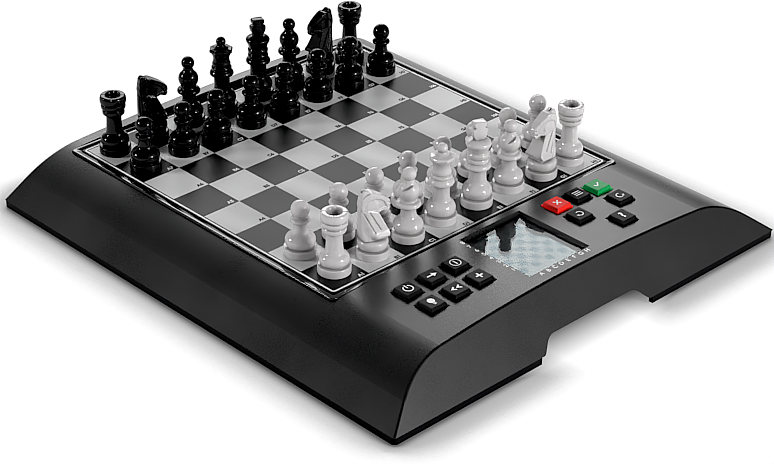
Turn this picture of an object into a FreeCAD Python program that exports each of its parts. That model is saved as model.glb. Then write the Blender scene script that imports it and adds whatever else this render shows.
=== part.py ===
import FreeCAD, Part
import math
import os
import Sketcher

# Electronic chess computer with a full set of chessmen.
# Millimetres. +Z is up, +X runs along the ranks from the a-file to the h-file,
# +Y runs from the player of the white men to the player of the black men.
# The origin is the middle of the footprint on the table, under the rubber feet.

V = FreeCAD.Vector
doc = FreeCAD.newDocument("chess_computer")
sheet = doc.addObject("Spreadsheet::Sheet", "Dims")
rows = [0]


class Q:
    """A size together with the sheet expression that drives it."""

    def __init__(self, val, txt):
        self.val = float(val)
        self.txt = txt

    def _with(self, other, sign, val):
        o = other if isinstance(other, Q) else Q(other, "%.6f" % other)
        return Q(val(self.val, o.val), "(%s %s %s)" % (self.txt, sign, o.txt))

    def __add__(self, o):
        return self._with(o, "+", lambda a, b: a + b)

    def __sub__(self, o):
        return self._with(o, "-", lambda a, b: a - b)

    def __mul__(self, o):
        return self._with(o, "*", lambda a, b: a * b)

    def __truediv__(self, o):
        return self._with(o, "/", lambda a, b: a / b)

    def __neg__(self):
        return Q(-self.val, "(0 - %s)" % self.txt)


def dim(alias, value):
    """Puts one driving dimension into the sheet under its alias."""
    rows[0] += 1
    cell = "B%d" % rows[0]
    sheet.set("A%d" % rows[0], alias)
    sheet.set(cell, "%.4f" % value)
    sheet.setAlias(cell, alias)
    return Q(round(value, 4), "Dims." + alias)


def num(value):
    return value if isinstance(value, Q) else Q(value, "%.6f" % value)


def bind(obj, prop, value):
    q = num(value)
    if not prop.startswith("Placement"):
        setattr(obj, prop, q.val)
    obj.setExpression(prop, q.txt)


def put(obj, x, y, z, rot=None):
    """Places an object; its base point follows the sheet."""
    x, y, z = num(x), num(y), num(z)
    obj.Placement = FreeCAD.Placement(V(x.val, y.val, z.val), rot or FreeCAD.Rotation())
    bind(obj, "Placement.Base.x", x)
    bind(obj, "Placement.Base.y", y)
    bind(obj, "Placement.Base.z", z)


# ---------------------------------------------------------------- dimensions
square = dim("square_pitch", 25.0)
board_y = dim("board_centre_y", 33.5)
board_z = dim("board_surface_z", 27.9)
half_w = dim("case_half_width", 141.9)
half_d = dim("case_half_depth", 153.2)
foot_t = dim("foot_thickness", 1.0)
seam_z = dim("case_seam_z", 5.0)
floor_z = dim("tray_floor_top_z", 3.0)
tray_wall = dim("tray_wall", 2.4)
wall = dim("case_wall", 2.2)
crown_r = dim("crown_radius", 1584.7583)
shoulder_r = dim("shoulder_radius", 58.0)
crown_x = dim("crown_half_width", 96.0)
crown_z = dim("crown_edge_z", 27.9896)
flank_x = dim("flank_top_x", 128.3882)
flank_z = dim("flank_top_z", 15.6491)
in_crown_r = dim("inner_crown_radius", 1582.5583)
in_shoulder_r = dim("inner_shoulder_radius", 55.8)
in_crown_x = dim("inner_crown_half_width", 95.8667)
in_crown_z = dim("inner_crown_edge_z", 25.7937)
in_flank_x = dim("inner_flank_top_x", 127.0264)
in_flank_z = dim("inner_flank_top_z", 13.9212)
in_foot_x = dim("inner_flank_foot_x", 139.6147)
in_foot_z = dim("inner_flank_foot_z", 4.0)
front_lean = dim("front_lean_per_rise", 0.74)
rear_lean = dim("rear_lean_per_rise", 0.27)
front_wall_y = dim("front_wall_along_y", 2.737)
rear_wall_y = dim("rear_wall_along_y", 2.279)
edge_r = dim("case_edge_radius", 1.7)
open_half = dim("board_opening_half", 106.0)
open_r = dim("board_opening_corner", 3.0)
skirt_half = dim("board_skirt_half", 108.2)
ledge_half = dim("board_ledge_half", 99.0)
ledge_bot = dim("board_ledge_bottom_z", 22.0)
ledge_top = dim("board_ledge_top_z", 23.4)
frame_half = dim("board_frame_half", 105.6)
frame_in = dim("board_frame_inner_half", 101.4)
frame_top = dim("board_frame_top_z", 28.2)
panel_half = dim("board_panel_half", 101.2)
panel_t = dim("board_panel_thickness", 1.8)
sensor_t = dim("sensor_thickness", 0.75)
win_half_x = dim("window_half_x", 21.3)
win_half_y = dim("window_half_y", 23.65)
win_y = dim("window_centre_y", -100.85)
win_bevel = dim("window_bevel", 1.0)
well_wall = dim("window_well_wall", 2.0)
lens_top = dim("window_pane_top_z", 28.45)
lens_t = dim("window_pane_thickness", 1.1)
lcd_t = dim("display_thickness", 3.0)
pcb_top = dim("circuit_board_top_z", 17.5)
pcb_t = dim("circuit_board_thickness", 1.6)
key_base = dim("key_base", 12.1)
key_brim = dim("key_brim_height", 0.6)
key_cap = dim("key_cap_foot", 11.1)
key_top = dim("key_top", 9.8)
key_rise = dim("key_rise", 2.4)
key_hole = dim("key_hole", 12.7)
key_flange = dim("key_flange", 15.0)
key_stem = dim("key_stem", 4.0)
key_stem_z = dim("key_stem_bottom_z", 22.0)
mat_t = dim("key_mat_thickness", 1.2)
dome_top = dim("key_mat_dome_top_z", 21.9)
notch_top = dim("notch_top_z", 11.6)
notch_half_t = dim("notch_half_width_top", 32.0)
notch_half_b = dim("notch_half_width_bottom", 42.6)
notch_r = dim("notch_corner_radius", 9.0)
notch_tray = dim("notch_half_width_tray", 41.6)
notch_ease = dim("notch_foot_easing", 0.5)
notch_back = dim("notch_back_y", -133.2)
recess_half = dim("notch_recess_half_width", 60.0)
men_gap = dim("chessman_gap", 0.05)
screw_x = dim("screw_x", 116.0)
boss_r = dim("screw_boss_radius", 4.0)
boss_z = dim("screw_boss_bottom_z", 12.0)
bat_x = dim("battery_bay_centre_x", -65.0)
bat_y0 = dim("battery_bay_front_y", 82.2)
bat_y1 = dim("battery_bay_rear_y", 134.4)
bat_half = dim("battery_bay_half_width", 31.0)
bat_top = dim("battery_bay_top_z", 19.0)
bay_wall = dim("battery_bay_wall", 1.6)
cell_r = dim("cell_radius", 7.1)
cell_pitch = dim("cell_pitch", 15.2)
door_t = dim("battery_door_thickness", 2.4)
pin_r = dim("door_pin_radius", 0.7)
pin_fit = dim("door_pin_clearance", 0.05)
jack_x = dim("socket_x", 70.0)
jack_z = dim("socket_z", 15.0)

NODES = {}


def node(obj, label):
    obj.Label = label
    NODES[label] = obj
    return obj


# ---------------------------------------------------------------- builders
def plane(body, role):
    for f in body.Origin.OriginFeatures:
        if f.Role == role:
            return f


def sketch(body, name, role, pts, arcs=None):
    """Closed outline through pts; arcs maps the segment number to its radius and side."""
    arcs = arcs or {}
    pts = [(num(a), num(b)) for a, b in pts]
    sk = body.newObject("Sketcher::SketchObject", name)
    sk.AttachmentSupport = [(plane(body, role), "")]
    sk.MapMode = "FlatFace"
    n = len(pts)
    geo, ends = [], []
    for i in range(n):
        p = V(pts[i][0].val, pts[i][1].val, 0)
        q = V(pts[(i + 1) % n][0].val, pts[(i + 1) % n][1].val, 0)
        if i in arcs:
            r, side = arcs[i]
            mid = (p + q) * 0.5
            d = q - p
            half = d.Length / 2
            nrm = V(-d.y, d.x, 0) * (side / d.Length)
            sag = r.val - math.sqrt(r.val ** 2 - half ** 2)
            crest = mid + nrm * sag
            ccw = (crest - p).cross(q - crest).z > 0
            geo.append(Part.ArcOfCircle(p, crest, q) if ccw else Part.ArcOfCircle(q, crest, p))
            ends.append((1, 2) if ccw else (2, 1))
        else:
            geo.append(Part.LineSegment(p, q))
            ends.append((1, 2))
    sk.addGeometry(geo, False)
    cons, links = [], []
    for i in range(n):
        j = (i + 1) % n
        cons.append(Sketcher.Constraint("Coincident", i, ends[i][1], j, ends[j][0]))
        links.append(None)
    for i in range(n):
        for axis, q in (("DistanceX", pts[i][0]), ("DistanceY", pts[i][1])):
            if abs(q.val) < 1e-9:
                cons.append(Sketcher.Constraint("PointOnObject", i, ends[i][0], -2 if axis == "DistanceX" else -1))
                links.append(None)
            elif q.val > 0:
                cons.append(Sketcher.Constraint(axis, -1, 1, i, ends[i][0], q.val))
                links.append(q)
            else:
                cons.append(Sketcher.Constraint(axis, i, ends[i][0], -1, 1, -q.val))
                links.append(-q)
    for i, (r, side) in sorted(arcs.items()):
        cons.append(Sketcher.Constraint("Radius", i, r.val))
        links.append(r)
    sk.addConstraint(cons)
    for k, q in enumerate(links):
        if q is not None and "Dims." in q.txt:
            sk.setExpression("Constraints[%d]" % k, q.txt)
    return sk


def pad(body, name, sk, length, both=False, flip=False):
    p = body.newObject("PartDesign::Pad", name)
    p.Profile = sk
    bind(p, "Length", length)
    if both:
        p.SideType = "Symmetric"
    p.Reversed = flip
    sk.Visibility = False
    return p


def turned(body, name, pts):
    """Solid of revolution about the body's upright axis."""
    sk = sketch(body, name + "_outline", "XZ_Plane", pts)
    rev = body.newObject("PartDesign::Revolution", name)
    rev.Profile = sk
    rev.ReferenceAxis = (sk, ["V_Axis"])
    rev.Angle = 360.0
    sk.Visibility = False
    return rev


def box(name, x0, x1, y0, y1, z0, z1):
    b = doc.addObject("Part::Box", name)
    x0, x1, y0, y1, z0, z1 = [num(a) for a in (x0, x1, y0, y1, z0, z1)]
    bind(b, "Length", x1 - x0)
    bind(b, "Width", y1 - y0)
    bind(b, "Height", z1 - z0)
    put(b, x0, y0, z0)
    return b


def rod(name, r, x, y, z0, z1, along="z"):
    c = doc.addObject("Part::Cylinder", name)
    z0, z1 = num(z0), num(z1)
    bind(c, "Radius", r)
    bind(c, "Height", z1 - z0)
    if along == "x":
        put(c, z0, x, y, FreeCAD.Rotation(V(0, 1, 0), 90))
    elif along == "y":
        put(c, x, z0, y, FreeCAD.Rotation(V(1, 0, 0), -90))
    else:
        put(c, x, y, z0)
    return c


def frustum(name, low, high, cx, cy, z0, z1):
    """Square or oblong block whose upper face is larger or smaller than its foot."""
    w = doc.addObject("Part::Wedge", name)
    lx, ly = num(low[0]) / 2, num(low[1]) / 2
    hx, hy = num(high[0]) / 2, num(high[1]) / 2
    z0, z1 = num(z0), num(z1)
    for prop, q in (("Xmin", -lx), ("Xmax", lx), ("Zmin", -ly), ("Zmax", ly), ("X2min", -hx), ("X2max", hx),
                    ("Z2min", -hy), ("Z2max", hy), ("Ymin", num(0.0)), ("Ymax", z1 - z0)):
        bind(w, prop, q)
    put(w, cx, cy, z0, FreeCAD.Rotation(V(1, 0, 0), 90))
    return w


def fuse(name, parts):
    f = doc.addObject("Part::MultiFuse", name)
    f.Shapes = parts
    return f


def cut(name, base, tool):
    c = doc.addObject("Part::Cut", name)
    c.Base = base
    c.Tool = tool
    return c


def common(name, a, b):
    c = doc.addObject("Part::Common", name)
    c.Base = a
    c.Tool = b
    return c


def rounded(name, base, radius, pick):
    """Rounds the edges of base that pick accepts."""
    base.recompute(True)
    f = doc.addObject("Part::Fillet", name)
    f.Base = base
    f.Edges = [(i + 1, radius.val, radius.val) for i, e in enumerate(base.Shape.Edges) if pick(e)]
    return f


def upright(e):
    a, b = e.Vertexes[0].Point, e.Vertexes[-1].Point
    return abs(a.x - b.x) < 1e-4 and abs(a.y - b.y) < 1e-4 and abs(a.z - b.z) > 0.5


# ---------------------------------------------------------------- upper case
def case_block(tag, foot, top_f, crown, rf, rc, y_front, y_rear, z_low):
    """Crowned cross-section along Y met by the leaning front and rear faces."""
    sec = doc.addObject("PartDesign::Body", tag + "_section")
    (fx, fz), (tx, tz), (cx, cz) = foot, top_f, crown
    pts = [(-fx, fz), (fx, fz), (tx, tz), (cx, cz), (-cx, cz), (-tx, tz)]
    sk = sketch(sec, tag + "_outline", "XZ_Plane", pts, {2: (rf, -1), 3: (rc, -1), 4: (rf, -1)})
    pad(sec, tag + "_run", sk, half_d * 2 + 40, both=True)
    side = doc.addObject("PartDesign::Body", tag + "_side")
    top = seam_z + 40
    pts = [(y_front - front_lean * (seam_z - z_low), z_low), (y_rear + rear_lean * (seam_z - z_low), z_low),
           (y_rear - rear_lean * 40, top), (y_front + front_lean * 40, top)]
    sk2 = sketch(side, tag + "_lean", "YZ_Plane", pts)
    pad(side, tag + "_across", sk2, half_w * 2 + 40, both=True)
    return common(tag + "_block", sec, side)


outer_sharp = case_block("case", (half_w, seam_z), (flank_x, flank_z), (crown_x, crown_z), shoulder_r, crown_r,
                         -half_d, half_d, seam_z)
doc.recompute()


def case_edge(e):
    pts = [v.Point for v in e.Vertexes] + [e.valueAt((e.FirstParameter + e.LastParameter) / 2)]
    if all(abs(p.z - seam_z.val) < 1e-3 for p in pts):
        return False
    front = all(abs(p.y - (-half_d.val + front_lean.val * (p.z - seam_z.val))) < 1e-3 for p in pts)
    rear = all(abs(p.y - (half_d.val - rear_lean.val * (p.z - seam_z.val))) < 1e-3 for p in pts)
    return front or rear


outer = rounded("case_outside", outer_sharp, edge_r, case_edge)
inner = case_block("hollow", (in_foot_x, in_foot_z), (in_flank_x, in_flank_z), (in_crown_x, in_crown_z),
                   in_shoulder_r, in_crown_r, -half_d + front_wall_y, half_d - rear_wall_y, in_foot_z)
shell = cut("case_shell", outer, inner)

# skirt and ledge that carry the board, walls of the display well and screw bosses
skirt = cut("board_skirt", box("skirt_block", -skirt_half, skirt_half, board_y - skirt_half, board_y + skirt_half,
                               ledge_bot, 34.0),
            box("skirt_bore", -ledge_half, ledge_half, board_y - ledge_half, board_y + ledge_half, 20.0, 36.0))
well = box("well_block", -win_half_x - well_wall, win_half_x + well_wall, win_y - win_half_y - well_wall,
           win_y + win_half_y + well_wall, lens_top + 0.05, 34.0)
SCREWS = [(sx, sy) for sx in (-1, 1) for sy in (-130.0, 20.0, 137.0)]
bosses = [rod("boss_%d" % i, boss_r, screw_x * sx, sy, boss_z, 34.0) for i, (sx, sy) in enumerate(SCREWS)]
ribs = common("case_ribs", fuse("case_rib_blocks", [skirt, well] + bosses), outer)
ribbed = fuse("case_ribbed", [shell, ribs])

# key places: label, x, y
KEYS = [("key_power", -75.0, -93.0), ("key_hint", -58.5, -93.0), ("key_info", -42.0, -93.0),
        ("key_light", -75.0, -109.6), ("key_takeback", -58.5, -109.6), ("key_new", -42.0, -109.6),
        ("key_clear", 40.6, -86.3), ("key_menu", 56.4, -86.3), ("key_enter", 72.2, -86.3),
        ("key_left", 40.6, -102.0), ("key_right", 72.2, -102.0), ("key_help", 56.4, -117.6)]
KEYS = [(n, dim(n + "_x", x), dim(n + "_y", y)) for n, x, y in KEYS]

board_cut = rounded("board_opening", box("board_opening_block", -open_half, open_half, board_y - open_half,
                                         board_y + open_half, ledge_top, 40.0), open_r, upright)
win_cut = rounded("window_opening", box("window_opening_block", -win_half_x, win_half_x, win_y - win_half_y,
                                        win_y + win_half_y, 20.0, 40.0), win_bevel, upright)
win_bev = frustum("window_bevel_cut", (win_half_x * 2, win_half_y * 2),
                  (win_half_x * 2 + 12, win_half_y * 2 + 12), 0.0, win_y, 29.85, 35.85)
holes = [box("hole_" + n, x - key_hole / 2, x + key_hole / 2, y - key_hole / 2, y + key_hole / 2, 20.0, 40.0)
         for n, x, y in KEYS]
notch_body = doc.addObject("PartDesign::Body", "notch_body")
nsl = (notch_half_b - notch_half_t) / (notch_top - foot_t)
seam_half = notch_half_t + nsl * (notch_top - seam_z)
foot_in, foot_out = seam_half - notch_ease * 2, seam_half + notch_ease * 2
nsk = sketch(notch_body, "notch_outline", "XZ_Plane",
             [(-notch_tray, foot_t - 3), (notch_tray, foot_t - 3), (notch_tray, seam_z - 0.02),
              (foot_out, seam_z - 0.02), (seam_half, seam_z + notch_ease * 0.8), (foot_in, seam_z + notch_ease * 2.5),
              (notch_half_t, notch_top), (-notch_half_t, notch_top),
              (-foot_in, seam_z + notch_ease * 2.5), (-seam_half, seam_z + notch_ease * 0.8), (-foot_out, seam_z - 0.02),
              (-notch_tray, seam_z - 0.02)])
pad(notch_body, "notch_run", nsk, 40.0)
put(notch_body, 0.0, notch_back, 0.0)
notch = rounded("notch_cut", notch_body, notch_r,
                lambda e: all(abs(v.Point.z - notch_top.val) < 1e-3 for v in e.Vertexes)
                and abs(e.Vertexes[0].Point.y - e.Vertexes[-1].Point.y) > 5)
jack_hole = rod("socket_hole", 4.6, jack_x, jack_z, 130.0, 170.0, "y")
pilots = [rod("pilot_%d" % i, 1.5, screw_x * sx, sy, 8.0, 20.5) for i, (sx, sy) in enumerate(SCREWS)]
upper_cuts = fuse("upper_cuts", [board_cut, win_cut, win_bev, notch, jack_hole] + holes + pilots)
node(cut("upper_case_cut", ribbed, upper_cuts), "upper_case")

# ---------------------------------------------------------------- lower case
tray_block = rounded("tray_block", box("tray_plain", -half_w, half_w, -half_d, half_d, foot_t, seam_z - 0.02),
                     dim("tray_corner", 2.6), upright)
tray = cut("tray", tray_block, box("tray_inside", -half_w + tray_wall, half_w - tray_wall, -half_d + tray_wall,
                                   half_d - tray_wall, floor_z, 9.0))
lip = cut("tray_lip", box("lip_out", -133.8, 133.8, -147.5, 147.5, floor_z - 0.1, 7.0),
          box("lip_in", -132.3, 132.3, -146.0, 146.0, 0.0, 9.0))
posts = []
for ix in (-1, 0, 1):
    for iy in (-1, 0, 1):
        low = bat_top + 0.3 if (ix == -1 and iy == 1) else floor_z - 0.1
        posts.append(rod("board_post_%d_%d" % (ix + 1, iy + 1), 3.5, square * 3 * ix, board_y + square * 3 * iy, low,
                         board_z - panel_t - sensor_t - 0.05))
for i, (px, py) in enumerate(((-90.0, -122.5), (90.0, -122.5), (-90.0, -81.5), (90.0, -81.5))):
    posts.append(rod("circuit_post_%d" % i, 3.0, px, py, floor_z - 0.1, pcb_top - pcb_t))
for i, (sx, sy) in enumerate(SCREWS):
    posts.append(rod("screw_post_%d" % i, boss_r, screw_x * sx, sy, floor_z - 0.1, boss_z - 0.1))
bay = box("bay_out", bat_x - bat_half - bay_wall, bat_x + bat_half + bay_wall, bat_y0 - bay_wall, bat_y1 + bay_wall,
          floor_z - 0.1, bat_top + bay_wall)
grow = 1.8
pocket = box("pocket_hood", -recess_half - grow, recess_half + grow, notch_back - 11.1, notch_back + 1.6, floor_z - 1,
             notch_top + 1.6)
recess = box("notch_recess", -recess_half, recess_half, -half_d + tray_wall + 0.1, notch_back, -2.0, notch_top)
spk_x, spk_y = dim("speaker_x", 38.0), dim("speaker_y", -42.0)
spk_ring = rod("speaker_ring", 20.0, spk_x, spk_y, floor_z - 0.1, 6.0)
jack_rest = box("socket_rest", jack_x - 5.5, jack_x + 5.5, 133.5, 145.0, floor_z - 0.1, 10.3)
tray_solid = fuse("tray_solid", [tray, lip, bay, pocket, spk_ring, jack_rest] + posts)
axis_y, axis_z = bat_y1 - 1.5, foot_t + door_t / 2
tray_cuts = [notch, recess, box("bay_in", bat_x - bat_half, bat_x + bat_half, bat_y0, bat_y1, 0.0, bat_top),
             rod("speaker_seat", 18.4, spk_x, spk_y, floor_z, 9.0),
             rod("door_bore", pin_r + pin_fit, axis_y, axis_z, bat_x - bat_half - 1.3, bat_x + bat_half + 1.3, "x")]
for i, (sx, sy) in enumerate(SCREWS):
    tray_cuts.append(rod("screw_way_%d" % i, 1.7, screw_x * sx, sy, 0.0, 14.0))
    tray_cuts.append(rod("screw_head_way_%d" % i, 3.2, screw_x * sx, sy, 0.0, 4.0))
for k in range(13):
    ring = 0.0 if k == 0 else (5.5 if k < 5 else 11.0)
    ang = 0.0 if k == 0 else (math.pi / 2 * k if k < 5 else math.pi / 4 * k)
    tray_cuts.append(rod("speaker_hole_%d" % k, 1.3, spk_x + ring * math.cos(ang), spk_y + ring * math.sin(ang),
                         0.0, 5.0))
node(cut("lower_case_cut", tray_solid, fuse("tray_cuts", tray_cuts)), "lower_case")

# battery door with a rounded hinge edge and two pins
door_y0, door_y1 = bat_y0 + 0.3, bat_y1 - 0.3
door_x0, door_x1 = bat_x - bat_half + 0.3, bat_x + bat_half - 0.3
door = fuse("door_solid", [box("door_plate", door_x0, door_x1, door_y0, axis_y, foot_t, foot_t + door_t),
                           rod("door_edge", door_t / 2, axis_y, axis_z, door_x0, door_x1, "x"),
                           rod("door_pins", pin_r, axis_y, axis_z, bat_x - bat_half - 1.1, bat_x + bat_half + 1.1, "x")])
node(cut("battery_door_cut", door, box("door_grip", bat_x - 8, bat_x + 8, door_y0 + 4, door_y0 + 7, 0.0, foot_t + 0.8)),
     "battery_door")

# four round cells, their nubs turned end about, and the leaf contacts at both ends
cells, leaves = [], []
cell_z = dim("cell_axis_z", 11.6)
for i in range(4):
    cx = bat_x + cell_pitch * (i - 1.5)
    y0, y1 = bat_y0 + 0.9, bat_y1 - 0.9
    if i % 2:
        cells += [rod("cell_%d" % i, cell_r, cx, cell_z, y0 + 1.3, y1, "y"),
                  rod("cell_nub_%d" % i, 2.7, cx, cell_z, y0, y0 + 1.4, "y")]
    else:
        cells += [rod("cell_%d" % i, cell_r, cx, cell_z, y0, y1 - 1.3, "y"),
                  rod("cell_nub_%d" % i, 2.7, cx, cell_z, y1 - 1.4, y1, "y")]
    leaves += [box("leaf_front_%d" % i, cx - 5, cx + 5, bat_y0 + 0.1, bat_y0 + 0.8, cell_z - 5, cell_z + 5),
               box("leaf_rear_%d" % i, cx - 5, cx + 5, bat_y1 - 0.8, bat_y1 - 0.1, cell_z - 5, cell_z + 5)]
node(fuse("batteries_group", cells), "batteries")
node(fuse("battery_contacts_group", leaves), "battery_contacts")

# ---------------------------------------------------------------- board stack
ring_out = rounded("frame_block", box("frame_plain", -frame_half, frame_half, board_y - frame_half, board_y + frame_half,
                                      ledge_top, frame_top), open_r - 0.4, upright)
ring = cut("frame_ring", ring_out, box("frame_bore", -frame_in, frame_in, board_y - frame_in, board_y + frame_in,
                                       20.0, 40.0))
doc.recompute()
ring_ch = doc.addObject("Part::Chamfer", "frame_chamfer")
ring_ch.Base = ring
ring_edges = []
for i, e in enumerate(ring.Shape.Edges):
    if all(abs(v.Point.z - frame_top.val) < 1e-3 for v in e.Vertexes):
        ring_edges.append((i + 1, 0.5, 0.5))
ring_ch.Edges = ring_edges
node(ring_ch, "board_frame")
node(box("board_panel_plate", -panel_half, panel_half, board_y - panel_half, board_y + panel_half, board_z - panel_t,
         board_z), "board_panel")
node(box("sensor_sheet", -panel_half, panel_half, board_y - panel_half, board_y + panel_half,
         board_z - panel_t - sensor_t, board_z - panel_t), "sensor_membrane")

# ---------------------------------------------------------------- display and electronics
lx, ly = win_half_x + well_wall, win_half_y + well_wall
node(box("window_pane", -lx, lx, win_y - ly, win_y + ly, lens_top - lens_t, lens_top), "display_window")
lcd_top = lens_top - lens_t - 0.1
lcd = [box("lcd_block", -lx, lx, win_y - ly, win_y + ly, lcd_top - lcd_t, lcd_top)]
for i, (sx, sy) in enumerate(((-1, -1), (1, -1), (-1, 1), (1, 1))):
    lcd.append(rod("lcd_leg_%d" % i, 2.0, (lx - 3) * sx, win_y + (ly - 3) * sy, pcb_top, lcd_top - lcd_t + 0.2))
node(fuse("lcd_module", lcd), "display_module")
pcb = [box("pcb_plate", -96.0, 96.0, -126.6, -77.0, pcb_top - pcb_t, pcb_top),
       box("pcb_processor", -12.0, 12.0, -113.0, -89.0, pcb_top - pcb_t - 2.2, pcb_top - pcb_t + 0.2),
       box("pcb_memory", 30.0, 46.0, -108.0, -98.0, pcb_top - pcb_t - 1.8, pcb_top - pcb_t + 0.2),
       box("pcb_driver", -46.0, -30.0, -108.0, -98.0, pcb_top - pcb_t - 1.8, pcb_top - pcb_t + 0.2),
       rod("pcb_capacitor", 4.0, 66.0, -92.0, pcb_top - pcb_t - 8.0, pcb_top - pcb_t + 0.2),
       box("pcb_connector", -70.0, -54.0, -84.0, -79.0, pcb_top - pcb_t - 5.0, pcb_top - pcb_t + 0.2)]
node(fuse("circuit_board", pcb), "main_circuit_board")
mats = [box("mat_left", -84.0, -32.5, -119.0, -84.0, pcb_top, pcb_top + mat_t),
        box("mat_right", 31.5, 81.5, -126.0, -77.6, pcb_top, pcb_top + mat_t)]
for n, x, y in KEYS:
    c = doc.addObject("Part::Cone", "dome_" + n)
    bind(c, "Radius1", 5.0)
    bind(c, "Radius2", 2.6)
    bind(c, "Height", dome_top - pcb_top - mat_t + 0.2)
    put(c, x, y, pcb_top + mat_t - 0.2)
    mats.append(c)
node(fuse("key_mat_pair", mats), "key_mats")
node(fuse("speaker_unit", [rod("speaker_cone", 18.0, spk_x, spk_y, floor_z + 0.1, 7.0),
                           rod("speaker_magnet", 9.0, spk_x, spk_y, 6.8, 13.0)]), "speaker")
jack = fuse("socket_solid", [box("socket_block", jack_x - 5, jack_x + 5, 134.0, 144.0, jack_z - 4.6, jack_z + 4.6),
                             rod("socket_nose", 4.3, jack_x, jack_z, 143.0, 149.9, "y")])
jack_open = cut("socket_open", jack, rod("socket_bore", 3.2, jack_x, jack_z, 138.0, 152.0, "y"))
node(fuse("socket_unit", [jack_open, rod("socket_pin", 1.0, jack_x, jack_z, 137.5, 147.5, "y")]), "power_socket")

# ---------------------------------------------------------------- feet and screws
feet = [rod("foot_%d" % i, 7.0, fx, fy, 0.0, foot_t)
        for i, (fx, fy) in enumerate(((-124.0, -106.0), (124.0, -106.0), (-124.0, 114.0), (124.0, 114.0)))]
node(fuse("feet_group", feet), "rubber_feet")
screws = []
for i, (sx, sy) in enumerate(SCREWS):
    screws += [rod("screw_head_%d" % i, 2.9, screw_x * sx, sy, 1.6, 3.9),
               rod("screw_shank_%d" % i, 1.4, screw_x * sx, sy, 3.8, 19.5)]
node(fuse("screws_group", screws), "case_screws")

# ---------------------------------------------------------------- push keys
for n, x, y in KEYS:
    lift = 30.9 - 2.85 * (x.val / 95.0) ** 2
    level = dim(n + "_panel_z", lift)
    cap = frustum("cap_" + n, (key_cap, key_cap), (key_top, key_top), x, y, level + key_brim - 0.1, level + key_rise)
    cap_r = rounded("cap_round_" + n, cap, dim(n + "_edge", 0.5), lambda e, zl=level.val: all(v.Point.z > zl + 1.0 for v in e.Vertexes)
                    or abs(e.Vertexes[0].Point.z - e.Vertexes[-1].Point.z) > 1.0)
    skirt_k = box("skirt_" + n, x - key_base / 2, x + key_base / 2, y - key_base / 2, y + key_base / 2,
                  level - 5.0, level + key_brim)
    skirt_r = rounded("skirt_round_" + n, skirt_k, dim(n + "_corner", 0.55), upright)
    flange = box("flange_" + n, x - key_flange / 2, x + key_flange / 2, y - key_flange / 2, y + key_flange / 2,
                 level - 5.0, level - 3.4)
    stem = box("stem_" + n, x - key_stem / 2, x + key_stem / 2, y - key_stem / 2, y + key_stem / 2,
               key_stem_z, level - 4.9)
    node(fuse("solid_" + n, [cap_r, skirt_r, flange, stem]), n)

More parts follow.
